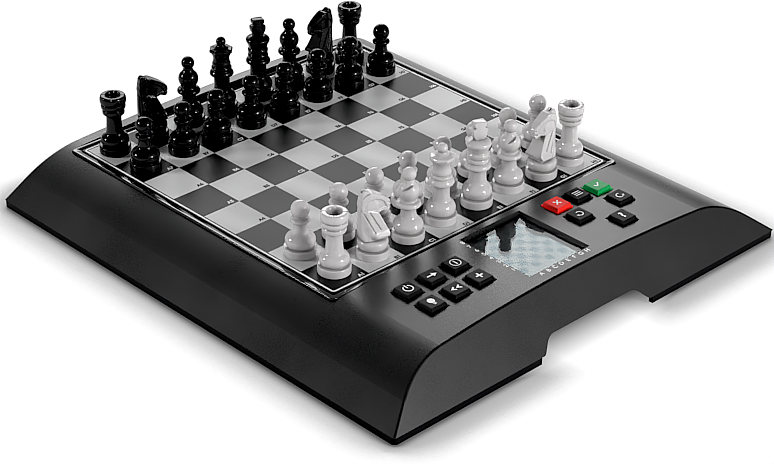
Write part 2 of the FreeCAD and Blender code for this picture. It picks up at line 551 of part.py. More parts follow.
# ---------------------------------------------------------------- chessmen
FOOT = [(8.65, 0.0), (8.65, 4.3), (8.3, 4.75), (7.0, 5.0)]
MEN = {
    "pawn": FOOT + [(7.5, 5.8), (7.8, 7.4), (7.85, 8.4), (7.7, 9.5), (7.0, 10.7), (6.1, 11.4), (5.2, 12.0), (4.2, 12.4),
                    (3.85, 13.2), (3.6, 14.4), (3.35, 16.6), (3.75, 17.6), (4.6, 18.4), (5.0, 19.0), (5.0, 20.8),
                    (3.6, 21.6), (3.9, 22.6), (4.5, 24.1), (4.68, 25.4), (4.45, 26.9), (3.75, 28.2), (2.4, 29.45),
                    (0.0, 30.1)],
    "rook": FOOT + [(7.5, 5.8), (7.7, 7.5), (7.4, 9.0), (6.5, 10.2), (5.4, 11.1), (4.8, 12.2), (4.45, 14.5), (4.2, 17.0),
                    (4.15, 20.6), (4.4, 22.0), (5.3, 23.3), (5.85, 24.6), (6.0, 25.8), (5.9, 26.8), (6.3, 27.5),
                    (6.65, 28.6), (6.6, 29.8), (7.0, 30.4), (7.2, 31.4), (7.2, 32.6), (7.0, 33.8), (6.3, 34.4),
                    (5.2, 34.45), (3.6, 33.5), (2.6, 32.0), (0.0, 31.2)],
    "bishop": FOOT + [(7.5, 5.8), (7.85, 7.8), (7.6, 9.4), (6.3, 11.3), (5.35, 12.0), (4.4, 12.9), (4.0, 14.5), (3.9, 16.0),
                      (4.3, 16.8), (5.4, 17.9), (6.3, 19.2), (6.5, 20.2), (6.1, 21.2), (5.2, 22.0), (4.1, 22.8),
                      (4.4, 23.6), (5.2, 25.0), (5.65, 27.2), (5.4, 29.0), (4.5, 30.6), (3.3, 32.0), (2.8, 33.2),
                      (3.1, 34.2), (3.7, 35.8), (3.75, 36.8), (3.4, 38.4), (2.2, 39.7), (0.0, 40.3)],
    "queen": FOOT + [(7.5, 5.8), (7.8, 7.6), (7.7, 9.0), (7.25, 10.4), (6.3, 11.5), (5.2, 12.5), (4.6, 13.8), (4.45, 16.0),
                     (4.45, 18.8), (4.9, 19.9), (5.8, 20.8), (6.5, 22.0), (6.7, 23.1), (6.5, 24.2), (6.0, 25.0),
                     (5.5, 25.4), (5.5, 26.9), (5.05, 27.8), (4.95, 29.7), (4.6, 32.2), (4.75, 33.6), (5.3, 34.8),
                     (6.2, 36.3), (6.6, 37.4), (5.0, 38.0), (4.2, 38.2), (2.6, 39.7), (2.2, 40.4), (2.65, 41.3),
                     (2.75, 42.1), (2.5, 43.3), (1.6, 44.4), (0.0, 44.9)],
    "king": FOOT + [(7.6, 6.0), (8.0, 8.0), (7.9, 9.3), (7.2, 10.8), (6.0, 12.0), (5.0, 13.0), (4.6, 14.5), (4.5, 19.0),
                    (5.0, 19.8), (6.2, 20.9), (6.8, 21.9), (6.9, 22.8), (6.6, 23.8), (5.9, 24.6), (5.5, 24.8),
                    (5.65, 25.4), (5.65, 27.0), (5.15, 28.1), (5.6, 29.4), (5.15, 31.0), (5.3, 32.0), (6.0, 34.0),
                    (6.7, 35.2), (6.85, 35.9), (6.6, 36.6), (5.6, 37.5), (4.0, 38.2), (0.0, 38.7)],
    "knight": FOOT + [(7.6, 5.8), (8.0, 7.6), (7.9, 9.2), (7.0, 10.4), (5.5, 11.0), (0.0, 11.2)],
}
HEAD = [(-6.8, 10.6), (6.4, 10.6), (7.0, 13.2), (2.4, 24.7), (5.2, 24.4), (8.3, 24.8), (9.0, 29.3), (-1.2, 36.6),
        (-3.2, 38.0), (-5.4, 37.8), (-7.6, 33.0), (-8.3, 27.0), (-8.2, 13.0)]
CROSS = [(-2.3, 38.0), (2.3, 38.0), (3.0, 39.4), (4.2, 41.8), (4.2, 44.4), (2.7, 45.2), (3.5, 46.2), (3.5, 48.5),
         (-3.5, 48.5), (-3.5, 46.2), (-2.7, 45.2), (-4.2, 44.4), (-4.2, 41.8), (-3.0, 39.4)]
OUT = {}
for kind, pts in MEN.items():
    OUT[kind] = [(num(0.0), num(0.0))]
    for i, (r, z) in enumerate(pts):
        rq = dim("%s_radius_%02d" % (kind, i), r) if r else num(0.0)
        zq = dim("%s_level_%02d" % (kind, i), z) if z else num(0.0)
        OUT[kind].append((rq, zq))
head_t = dim("knight_head_thickness", 6.0)
cross_t = dim("king_cross_thickness", 4.5)
slit_t = dim("rook_groove_width", 0.6)
slit_z = dim("rook_groove_floor_z", 33.85)


# men that stand a little off the middle of their squares: label, x, y
ASIDE = {"white_rook_a": (1.2, 1.7), "white_knight_b": (1.2, 0.4), "white_bishop_c": (1.6, 0.8), "white_queen": (1.3, 2.0),
         "white_king": (3.0, 1.9), "white_bishop_f": (2.3, 2.1), "white_knight_g": (1.1, 0.0), "white_rook_h": (-0.9, 1.2),
         "white_pawn_a": (0.7, 1.35), "white_pawn_b": (2.0, 1.5), "white_pawn_c": (1.6, 1.0), "white_pawn_d": (1.6, 2.0),
         "white_pawn_e": (1.5, 1.5), "white_pawn_f": (1.6, 2.0), "white_pawn_g": (1.15, 1.1), "white_pawn_h": (-0.2, 0.8),
         "black_rook_a": (-0.6, 0.9), "black_bishop_c": (1.1, 0.1), "black_king": (1.1, -1.1), "black_bishop_f": (1.0, 0.3),
         "black_rook_h": (-1.2, 0.5), "black_pawn_b": (1.7, 0.4), "black_pawn_d": (0.5, 0.5), "black_pawn_f": (0.3, 0.0),
         "black_pawn_h": (0.1, -0.1)}
# men that are turned about their own axis: label, degrees
TURN = {"white_knight_b": -17.0, "black_knight_b": -17.0, "white_knight_g": 180.0, "black_knight_g": 180.0,
        "white_king": -20.0, "black_king": -20.0}


def chessman(label, kind, col, row):
    """One man, turned about its own axis and stood on its square."""
    b = doc.addObject("PartDesign::Body", label + "_body")
    turned(b, label + "_turned", OUT[kind])
    if kind == "king":
        sk = sketch(b, label + "_cross", "XZ_Plane", CROSS)
        pad(b, label + "_cross_pad", sk, cross_t, both=True)
    elif kind == "knight":
        sk = sketch(b, label + "_head", "XZ_Plane", HEAD)
        pad(b, label + "_head_pad", sk, head_t, both=True)
    elif kind == "rook":
        for k, ang in enumerate((45.0, 135.0)):
            s = b.newObject("PartDesign::SubtractiveBox", "%s_slit_%d" % (label, k))
            bind(s, "Length", 18.0)
            bind(s, "Width", slit_t)
            bind(s, "Height", 5.0)
            rot = FreeCAD.Rotation(V(0, 0, 1), ang)
            s.Placement = FreeCAD.Placement(rot.multVec(V(-9.0, -slit_t.val / 2, 0)) + V(0, 0, slit_z.val), rot)
    rot = FreeCAD.Rotation(V(0, 0, 1), TURN.get(label, 0.0))
    px, py = square * (col - 3.5), board_y + square * (row - 3.5)
    if label in ASIDE:
        px = px + dim(label + "_aside_x", ASIDE[label][0])
        py = py + dim(label + "_aside_y", ASIDE[label][1])
    put(b, px, py, board_z + men_gap, rot)
    node(b, label)


BACK = [("rook_a", "rook", 0), ("knight_b", "knight", 1), ("bishop_c", "bishop", 2), ("queen", "queen", 3),
        ("king", "king", 4), ("bishop_f", "bishop", 5), ("knight_g", "knight", 6), ("rook_h", "rook", 7)]
for side, home, front in (("white", 0, 1), ("black", 7, 6)):
    for name, kind, col in BACK:
        chessman("%s_%s" % (side, name), kind, col, home)
    for col, letter in enumerate("abcdefgh"):
        chessman("%s_pawn_%s" % (side, letter), "pawn", col, front)

# ---------------------------------------------------------------- check and write
doc.recompute()
bad = []
for obj in doc.Objects:
    if any(s in ("Invalid", "Error") for s in obj.State):
        bad.append("%s %s" % (obj.Name, obj.State))
for label, obj in NODES.items():
    shp = obj.Shape
    if shp.isNull() or not shp.isValid() or not shp.Solids:
        bad.append("shape of " + label)
if bad:
    raise RuntimeError("failed: " + "; ".join(bad))
os.makedirs("parts", exist_ok=True)
for label, obj in sorted(NODES.items()):
    shp = obj.Shape
    shp.exportStep("parts/%s.step" % label)
    bb = shp.BoundBox
    print("%-20s solids %2d volume %10.1f  x %.1f..%.1f y %.1f..%.1f z %.2f..%.2f" % (
        label, len(shp.Solids), shp.Volume, bb.XMin, bb.XMax, bb.YMin, bb.YMax, bb.ZMin, bb.ZMax))
print("nodes", len(NODES))
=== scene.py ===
import bpy
import math
import numpy as np
from mathutils import Matrix, Vector


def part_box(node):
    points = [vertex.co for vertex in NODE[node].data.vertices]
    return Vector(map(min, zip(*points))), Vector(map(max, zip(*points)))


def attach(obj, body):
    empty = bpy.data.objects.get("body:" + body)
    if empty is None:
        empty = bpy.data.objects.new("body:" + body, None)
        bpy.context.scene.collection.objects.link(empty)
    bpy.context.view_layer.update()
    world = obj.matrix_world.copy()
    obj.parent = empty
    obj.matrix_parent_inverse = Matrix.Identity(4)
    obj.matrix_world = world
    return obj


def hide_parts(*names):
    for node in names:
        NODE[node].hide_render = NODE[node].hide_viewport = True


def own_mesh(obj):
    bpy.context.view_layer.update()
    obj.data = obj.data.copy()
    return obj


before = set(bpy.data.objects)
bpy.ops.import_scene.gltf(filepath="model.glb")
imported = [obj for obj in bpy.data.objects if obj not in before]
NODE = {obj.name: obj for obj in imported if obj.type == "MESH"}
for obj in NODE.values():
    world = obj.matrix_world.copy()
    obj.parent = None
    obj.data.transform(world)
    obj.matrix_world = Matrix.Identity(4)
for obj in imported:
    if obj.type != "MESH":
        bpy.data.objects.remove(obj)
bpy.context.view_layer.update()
MM = 0.001
BOARD_Y = 33.5          # middle of the playing board, mm
BOARD_Z = 27.9          # its surface
MEN_Z = 27.95           # underside of the chessmen
SQ = 25.0               # pitch of the squares
scene = bpy.context.scene


def panel_z(x):
    """Height of the crowned key panel above the table, mm."""
    return 30.9 - 2.85 * (x / 95.0) ** 2


# ------------------------------------------------------------------ materials
class Tree:
    """Short-hand for building one material's nodes."""

    def __init__(self, name):
        self.mat = bpy.data.materials.new(name)
        self.mat.use_nodes = True
        self.nt = self.mat.node_tree
        self.nt.nodes.clear()
        self.out = self.nt.nodes.new("ShaderNodeOutputMaterial")
        self.co = self.nt.nodes.new("ShaderNodeTexCoord").outputs["Object"]

    def node(self, kind, **props):
        n = self.nt.nodes.new(kind)
        for k, v in props.items():
            setattr(n, k, v)
        return n

    def link(self, a, b):
        self.nt.links.new(a, b)

    def put(self, socket, value):
        if isinstance(value, bpy.types.NodeSocket):
            self.link(value, socket)
        else:
            socket.default_value = value

    def math(self, op, a, b=None, c=None, clamp=False):
        n = self.node("ShaderNodeMath", operation=op, use_clamp=clamp)
        for i, v in enumerate((a, b, c)):
            if v is not None:
                self.put(n.inputs[i], v)
        return n.outputs[0]

    def noise(self, scale, detail=2.0, rough=0.5, vector=None):
        n = self.node("ShaderNodeTexNoise")
        n.inputs["Scale"].default_value = scale
        n.inputs["Detail"].default_value = detail
        n.inputs["Roughness"].default_value = rough
        self.link(vector or self.co, n.inputs["Vector"])
        return n.outputs["Fac"]

    def ramp(self, fac, stops):
        n = self.node("ShaderNodeValToRGB")
        el = n.color_ramp.elements
        while len(el) < len(stops):
            el.new(0.5)
        for e, (p, c) in zip(el, stops):
            e.position = p
            e.color = (*c, 1.0)
        self.link(fac, n.inputs["Fac"])
        return n.outputs["Color"]

    def range(self, v, a, b, c, d):
        n = self.node("ShaderNodeMapRange")
        for k, x in zip(("From Min", "From Max", "To Min", "To Max"), (a, b, c, d)):
            n.inputs[k].default_value = x
        self.link(v, n.inputs["Value"])
        return n.outputs["Result"]

    def mix(self, fac, a, b):
        n = self.node("ShaderNodeMix", data_type="RGBA")
        self.put(n.inputs["Factor"], fac)
        self.put(n.inputs[6], a if isinstance(a, bpy.types.NodeSocket) else (*a, 1.0))
        self.put(n.inputs[7], b if isinstance(b, bpy.types.NodeSocket) else (*b, 1.0))
        return n.outputs[2]

    def bump(self, height, strength, distance):
        n = self.node("ShaderNodeBump")
        n.inputs["Strength"].default_value = strength
        n.inputs["Distance"].default_value = distance
        self.link(height, n.inputs["Height"])
        return n.outputs["Normal"]

    def shader(self, colour, rough, normal=None, spec=0.5, metal=0.0, coat=0.0, coat_rough=0.05, ior=1.5):
        p = self.node("ShaderNodeBsdfPrincipled")
        self.put(p.inputs["Base Color"], colour if isinstance(colour, bpy.types.NodeSocket) else (*colour, 1.0))
        self.put(p.inputs["Roughness"], rough)
        p.inputs["Specular IOR Level"].default_value = spec
        p.inputs["Metallic"].default_value = metal
        p.inputs["IOR"].default_value = ior
        if coat:
            p.inputs["Coat Weight"].default_value = coat
            p.inputs["Coat Roughness"].default_value = coat_rough
        if normal is not None:
            self.link(normal, p.inputs["Normal"])
        self.link(p.outputs[0], self.out.inputs["Surface"])
        return p


def near(c, f):
    return tuple(min(1.0, x * f) for x in c)


def moulded(name, colour, rough, grain=1600.0, depth=0.00002, strength=0.25, spread=0.06, spec=0.5, drift=0.12,
            coat=0.0, coat_rough=0.05, ior=1.5, crease=0.0):
    """Injection-moulded plastic: slow drift of tone, fine grain in tone, gloss and surface; with crease set, creases
    and hollows get painted shade.
    """
    t = Tree(name)
    slow = t.noise(18.0, 3.0, 0.6)
    fine = t.noise(grain, 3.0, 0.65)
    both = t.math("MULTIPLY_ADD", slow, 0.6, t.math("MULTIPLY", fine, 0.4))
    col = t.ramp(both, [(0.25, near(colour, 1.0 - drift)), (0.75, near(colour, 1.0 + drift))])
    # painted shade: ambient occlusion darkens the colour in creases, strongly over a tight reach and more weakly over a
    # wider one
    if crease:
        ao = t.node("ShaderNodeAmbientOcclusion", samples=8, only_local=True)
        ao.inputs["Distance"].default_value = crease
        crease_shade_colour = t.ramp(both, [(0.25, near(colour, 0.42)), (0.75, near(colour, 0.48))])
        col = t.mix(t.range(ao.outputs["AO"], 0.30, 0.86, 0.0, 1.0), crease_shade_colour, col)
        wide = t.node("ShaderNodeAmbientOcclusion", samples=8, only_local=True)
        wide.inputs["Distance"].default_value = 3.5 * crease
        grey = t.mix(0.80, col, crease_shade_colour)
        col = t.mix(t.range(wide.outputs["AO"], 0.60, 0.97, 0.0, 1.0), grey, col)
    rgh = t.range(both, 0.25, 0.75, max(0.02, rough - spread), rough + spread)
    nrm = t.bump(fine, strength, depth)
    t.shader(col, rgh, nrm, spec=spec, coat=coat, coat_rough=coat_rough, ior=ior)
    return t.mat


M = {}
M["case"] = moulded("case_satin_black", (0.0075, 0.0075, 0.008), 0.29, grain=1300.0, depth=0.00005, strength=0.20, drift=0.12)
M["tray"] = moulded("tray_black", (0.004, 0.004, 0.0045), 0.50, grain=2200.0, ior=1.16)
M["frame"] = moulded("frame_gloss_black", (0.003, 0.003, 0.0033), 0.10, grain=900.0, strength=0.03, spread=0.03)
M["key"] = moulded("key_black", (0.004, 0.004, 0.0043), 0.40, grain=2600.0, strength=0.25, ior=1.22)
M["key_red"] = moulded("key_red", (0.95, 0.022, 0.016), 0.36, grain=2600.0, strength=0.2, ior=1.33)
M["key_green"] = moulded("key_green", (0.004, 0.34, 0.085), 0.36, grain=2600.0, strength=0.2, ior=1.33)
# the white men carry painted shade in their creases
M["white"] = moulded("men_ivory_white_painted_shade", (0.560, 0.547, 0.550), 0.11, grain=420.0, depth=0.00003, strength=0.05, drift=0.03, spread=0.03,
                     crease=0.0032)
M["black"] = moulded("men_gloss_black", (0.0062, 0.0062, 0.0066), 0.13, grain=420.0, depth=0.00003, strength=0.05, spread=0.03, ior=1.27)
M["ink"] = moulded("print_white", (0.90, 0.90, 0.89), 0.45, grain=5000.0, strength=0.05, drift=0.04)
M["ink_soft"] = moulded("print_grey_white", (0.74, 0.74, 0.74), 0.45, grain=5000.0, strength=0.05, drift=0.05)
M["ink_black"] = moulded("print_black", (0.002, 0.002, 0.002), 0.42, grain=5000.0, strength=0.05, ior=1.2)
M["rubber"] = moulded("foot_rubber", (0.012, 0.012, 0.012), 0.75, grain=900.0, strength=0.4)
M["film"] = moulded("sensor_film", (0.42, 0.36, 0.20), 0.40)
M["laminate"] = moulded("circuit_green", (0.012, 0.11, 0.035), 0.38, grain=600.0)
M["silicone"] = moulded("key_silicone", (0.40, 0.40, 0.39), 0.60)
M["wrap"] = moulded("cell_wrap", (0.07, 0.07, 0.075), 0.32)
M["speaker"] = moulded("speaker_black", (0.02, 0.02, 0.02), 0.5)


def steel(name, colour, rough):
    t = Tree(name)
    n = t.noise(900.0, 3.0, 0.6)
    t.shader(t.ramp(n, [(0.3, near(colour, 0.85)), (0.7, near(colour, 1.1))]), t.range(n, 0.3, 0.7, rough - 0.06, rough + 0.08),
             t.bump(n, 0.1, 0.00002), metal=1.0)
    return t.mat


M["steel"] = steel("screw_steel", (0.55, 0.55, 0.55), 0.32)
M["plated"] = steel("contact_plated", (0.72, 0.72, 0.70), 0.22)


def board_print():
    """Printed sheet: light and dark squares, a thin dark margin and a white border line."""
    t = Tree("board_print")
    sep = t.node("ShaderNodeSeparateXYZ")
    t.link(t.co, sep.inputs[0])
    x = t.math("MULTIPLY", sep.outputs[0], 1000.0)
    y = t.math("SUBTRACT", t.math("MULTIPLY", sep.outputs[1], 1000.0), BOARD_Y)
    i = t.math("FLOOR", t.math("DIVIDE", x, SQ))
    j = t.math("FLOOR", t.math("DIVIDE", y, SQ))
    odd = t.math("MODULO", t.math("ADD", t.math("ADD", i, j), 32.0), 2.0)
    ax, ay = t.math("ABSOLUTE", x), t.math("ABSOLUTE", y)
    far = t.math("MAXIMUM", ax, ay)
    inside = t.math("LESS_THAN", far, 98.9)
    r = 1.6
    qx = t.math("MAXIMUM", t.math("SUBTRACT", ax, 100.1 - r), 0.0)
    qy = t.math("MAXIMUM", t.math("SUBTRACT", ay, 100.1 - r), 0.0)
    ring = t.math("SUBTRACT", t.math("SQRT", t.math("ADD", t.math("MULTIPLY", qx, qx), t.math("MULTIPLY", qy, qy))), r)
    line = t.math("MULTIPLY", t.math("LESS_THAN", t.math("ABSOLUTE", ring), 0.55), t.math("GREATER_THAN", far, 98.0))
    speck = t.noise(3200.0, 3.0, 0.7)
    slow = t.noise(14.0, 3.0, 0.6)
    both = t.math("MULTIPLY_ADD", slow, 0.5, t.math("MULTIPLY", speck, 0.5))
    light = t.ramp(both, [(0.3, (0.600, 0.600, 0.605)), (0.7, (0.660, 0.660, 0.662))])
    dark = t.ramp(both, [(0.3, (0.006, 0.006, 0.0062)), (0.7, (0.011, 0.011, 0.0113))])
    edge = t.ramp(both, [(0.3, (0.004, 0.004, 0.004)), (0.7, (0.007, 0.007, 0.007))])
    white = t.ramp(both, [(0.3, (0.72, 0.72, 0.72)), (0.7, (0.80, 0.80, 0.80))])
    col = t.mix(inside, edge, t.mix(odd, dark, light))
    col = t.mix(line, col, white)
    rgh = t.range(both, 0.3, 0.7, 0.30, 0.40)
    t.shader(col, rgh, t.bump(speck, 0.12, 0.00002), spec=0.15)
    return t.mat


M["board"] = board_print()


def display_face(cx, cy, px, py):
    """Reflective liquid-crystal glass: silvery cells and dimmer blue-grey ones in an eight by eight chequer."""
    t = Tree("display_glass")
    sep = t.node("ShaderNodeSeparateXYZ")
    t.link(t.co, sep.inputs[0])
    x = t.math("DIVIDE", t.math("SUBTRACT", t.math("MULTIPLY", sep.outputs[0], 1000.0), cx), px)
    y = t.math("DIVIDE", t.math("SUBTRACT", t.math("MULTIPLY", sep.outputs[1], 1000.0), cy), py)
    odd = t.math("MODULO", t.math("ADD", t.math("ADD", t.math("FLOOR", x), t.math("FLOOR", y)), 32.0), 2.0)
    far = t.math("MAXIMUM", t.math("ABSOLUTE", x), t.math("ABSOLUTE", y))
    inside = t.math("LESS_THAN", far, 4.0)
    fx = t.math("ABSOLUTE", t.math("SUBTRACT", t.math("FRACT", x), 0.5))
    fy = t.math("ABSOLUTE", t.math("SUBTRACT", t.math("FRACT", y), 0.5))
    gap = t.math("LESS_THAN", t.math("MAXIMUM", fx, fy), 0.46)
    cell = t.math("MULTIPLY", t.math("MULTIPLY", t.math("SUBTRACT", 1.0, odd), inside), gap)
    n = t.noise(260.0, 3.0, 0.6)
    base = t.ramp(n, [(0.3, (0.036, 0.038, 0.039)), (0.7, (0.040, 0.042, 0.043))])
    dim = t.ramp(n, [(0.3, (0.005, 0.016, 0.021)), (0.7, (0.007, 0.019, 0.024))])
    t.shader(t.mix(cell, base, dim), t.range(n, 0.3, 0.7, 0.05, 0.08), metal=1.0)
    return t.mat


M["lcd"] = display_face(1.0, -97.5, 4.83, 5.06)


def clear_pane():
    """Clear acrylic: see-through, with a polished surface that reflects more at a slant."""
    t = Tree("clear_pane")
    glossy = t.node("ShaderNodeBsdfGlossy")
    n = t.noise(60.0, 2.0, 0.5)
    t.link(t.ramp(n, [(0.3, (0.96, 0.98, 0.99)), (0.7, (0.99, 1.0, 1.0))]), glossy.inputs["Color"])
    t.link(t.range(n, 0.3, 0.7, 0.015, 0.03), glossy.inputs["Roughness"])
    clear = t.node("ShaderNodeBsdfTransparent")
    t.link(t.ramp(n, [(0.3, (0.93, 0.96, 0.96)), (0.7, (0.95, 0.97, 0.97))]), clear.inputs["Color"])
    fres = t.node("ShaderNodeFresnel")
    fres.inputs["IOR"].default_value = 1.25
    face = t.node("ShaderNodeNewGeometry").outputs["Backfacing"]
    m = t.node("ShaderNodeMixShader")
    t.link(t.math("MULTIPLY", fres.outputs[0], t.math("SUBTRACT", 1.0, face)), m.inputs[0])
    t.link(clear.outputs[0], m.inputs[1])
    t.link(glossy.outputs[0], m.inputs[2])
    t.link(m.outputs[0], t.out.inputs["Surface"])
    return t.mat


M["pane"] = clear_pane()


def wear(node, mat):
    me = NODE[node].data
    me.materials.clear()
    me.materials.append(mat)


for n, m in (("upper_case", "case"), ("lower_case", "tray"), ("board_panel", "board"),
             ("sensor_membrane", "film"), ("display_window", "pane"), ("display_module", "lcd"),
             ("main_circuit_board", "laminate"), ("key_mats", "silicone"), ("speaker", "speaker"),
             ("power_socket", "tray"), ("battery_door", "tray"), ("battery_contacts", "plated"), ("batteries", "wrap"),
             ("rubber_feet", "rubber"), ("case_screws", "steel")):
    wear(n, M[m])


# ------------------------------------------------------------------ mesh helpers
def mesh(name, verts, faces, mat, smooth=True, sharp=None):
    me = bpy.data.meshes.new(name)
    me.from_pydata([tuple(map(float, v)) for v in verts], [], [tuple(map(int, f)) for f in faces])
    me.validate()
    me.materials.append(mat)
    if smooth:
        me.polygons.foreach_set("use_smooth", [True] * len(me.polygons))
        if sharp:
            me.set_sharp_from_angle(angle=math.radians(sharp))
    me.update()
    return me


def piece(name, me, body, at=(0, 0, 0), turn=0.0, stands_for=None):
    o = bpy.data.objects.new(name, me)
    scene.collection.objects.link(o)
    o.location = [c * MM for c in at]
    o.rotation_euler = (0, 0, turn)
    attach(o, body)
    if stands_for:
        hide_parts(stands_for)
    return o


def run(pts, step=0.12):
    """Smooth curve through points (centripetal), sampled at about step."""
    p = np.array(pts, float)
    if len(p) == 2:
        n = max(2, int(np.hypot(*(p[1] - p[0])) / step))
        return p[0] + (p[1] - p[0]) * np.linspace(0, 1, n + 1)[:, None]
    ext = np.vstack([2 * p[0] - p[1], p, 2 * p[-1] - p[-2]])
    out = [p[0]]
    for k in range(1, len(ext) - 2):
        a, b, c, d = ext[k - 1:k + 3]
        t0 = 0.0
        t1 = t0 + max(1e-6, np.linalg.norm(b - a)) ** 0.5
        t2 = t1 + max(1e-6, np.linalg.norm(c - b)) ** 0.5
        t3 = t2 + max(1e-6, np.linalg.norm(d - c)) ** 0.5
        n = max(2, int(np.linalg.norm(c - b) / step))
        for t in np.linspace(t1, t2, n + 1)[1:]:
            A1 = (t1 - t) / (t1 - t0) * a + (t - t0) / (t1 - t0) * b
            A2 = (t2 - t) / (t2 - t1) * b + (t - t1) / (t2 - t1) * c
            A3 = (t3 - t) / (t3 - t2) * c + (t - t2) / (t3 - t2) * d
            B1 = (t2 - t) / (t2 - t0) * A1 + (t - t0) / (t2 - t0) * A2
            B2 = (t3 - t) / (t3 - t1) * A2 + (t - t1) / (t3 - t1) * A3
            out.append((t2 - t) / (t2 - t1) * B1 + (t - t1) / (t2 - t1) * B2)
    return np.array(out)


def contour(runs, soft=0.07):
    """Joins runs into one outline, eases its corners a little and thins it out."""
    line = [run(runs[0])]
    for r in runs[1:]:
        line.append(run([tuple(line[-1][-1])] + list(r))[1:])
    p = np.vstack(line)
    seg = np.hypot(*np.diff(p, axis=0).T)
    s = np.concatenate([[0], np.cumsum(seg)])
    n = int(s[-1] / 0.035)
    u = np.linspace(0, s[-1], n)
    q = np.stack([np.interp(u, s, p[:, 0]), np.interp(u, s, p[:, 1])], 1)
    w = int(3 * soft / 0.035) + 1
    k = np.exp(-0.5 * (np.arange(-w, w + 1) * 0.035 / soft) ** 2)
    k /= k.sum()
    first, last = q[0].copy(), q[-1].copy()
    pad = np.vstack([2 * q[0] - q[w:0:-1], q, 2 * q[-1] - q[-2:-w - 2:-1]])
    q = np.stack([np.convolve(pad[:, c], k, "valid") for c in (0, 1)], 1)
    q[0], q[-1] = first, last
    keep = thin(q, 0.008)
    q = q[keep]
    q[:, 0] = np.maximum(q[:, 0], 0.0)
    return q


def thin(p, tol):
    """Indices of the points that keep the outline within tol."""
    keep, stack = {0, len(p) - 1}, [(0, len(p) - 1)]
    while stack:
        a, b = stack.pop()
        if b - a < 2:
            continue
        d = p[b] - p[a]
        L = np.hypot(*d) or 1e-9
        e = np.abs(d[0] * (p[a + 1:b, 1] - p[a, 1]) - d[1] * (p[a + 1:b, 0] - p[a, 0])) / L
        k = int(e.argmax())
        if e[k] > tol or (s_len(p, a, b) > 1.4):
            m = a + 1 + (k if e[k] > tol else (b - a) // 2 - 1)
            keep.add(m)
            stack += [(a, m), (m, b)]
    return sorted(keep)


def s_len(p, a, b):
    return float(np.hypot(*np.diff(p[a:b + 1], axis=0).T).sum())


def lathe(profile, seg=72, shape=None):
    """Turned solid from an outline that starts and ends on the axis; shape(theta, r, z) may alter the radius."""
    th = np.arange(seg) * 2 * math.pi / seg
    verts, faces = [], []
    rings = []
    for r, z in profile:
        if r < 1e-4:
            rings.append([len(verts)])
            verts.append((0.0, 0.0, z))
        else:
            rr = np.full(seg, r) if shape is None else shape(th, r, z)
            rings.append(list(range(len(verts), len(verts) + seg)))
            verts += [(a * math.cos(t), a * math.sin(t), z) for a, t in zip(rr, th)]
    for lo, hi in zip(rings[:-1], rings[1:]):
        for k in range(seg):
            m = (k + 1) % seg
            if len(lo) == 1 and len(hi) == 1:
                continue
            if len(lo) == 1:
                faces.append((lo[0], hi[m], hi[k]))
            elif len(hi) == 1:
                faces.append((lo[k], lo[m], hi[0]))
            else:
                faces.append((lo[k], lo[m], hi[m], hi[k]))
    return np.array(verts), faces


def join(*parts):
    verts, faces, base = [], [], 0
    for v, f in parts:
        verts.append(np.asarray(v, float))
        faces += [tuple(i + base for i in q) for q in f]
        base += len(v)
    return np.vstack(verts), faces


# ------------------------------------------------------------------ chessmen
FOOT = [[(0, 0), (8.3, 0)], [(8.55, 0.1), (8.65, 0.4), (8.65, 3.85)], [(8.6, 4.2), (8.4, 4.45), (8.1, 4.55)], [(7.6, 4.62), (6.95, 4.75)]]
TIER = [(7.1, 5.05), (7.45, 5.7), (7.75, 6.7)]


def ball(r, zc, z0, n=11):
    """Points on a sphere about the axis, from height z0 to the top."""
    a0 = math.asin((z0 - zc) / r)
    return [(max(0.0, r * math.cos(a)), zc + r * math.sin(a)) for a in np.linspace(a0, math.pi / 2, n)]


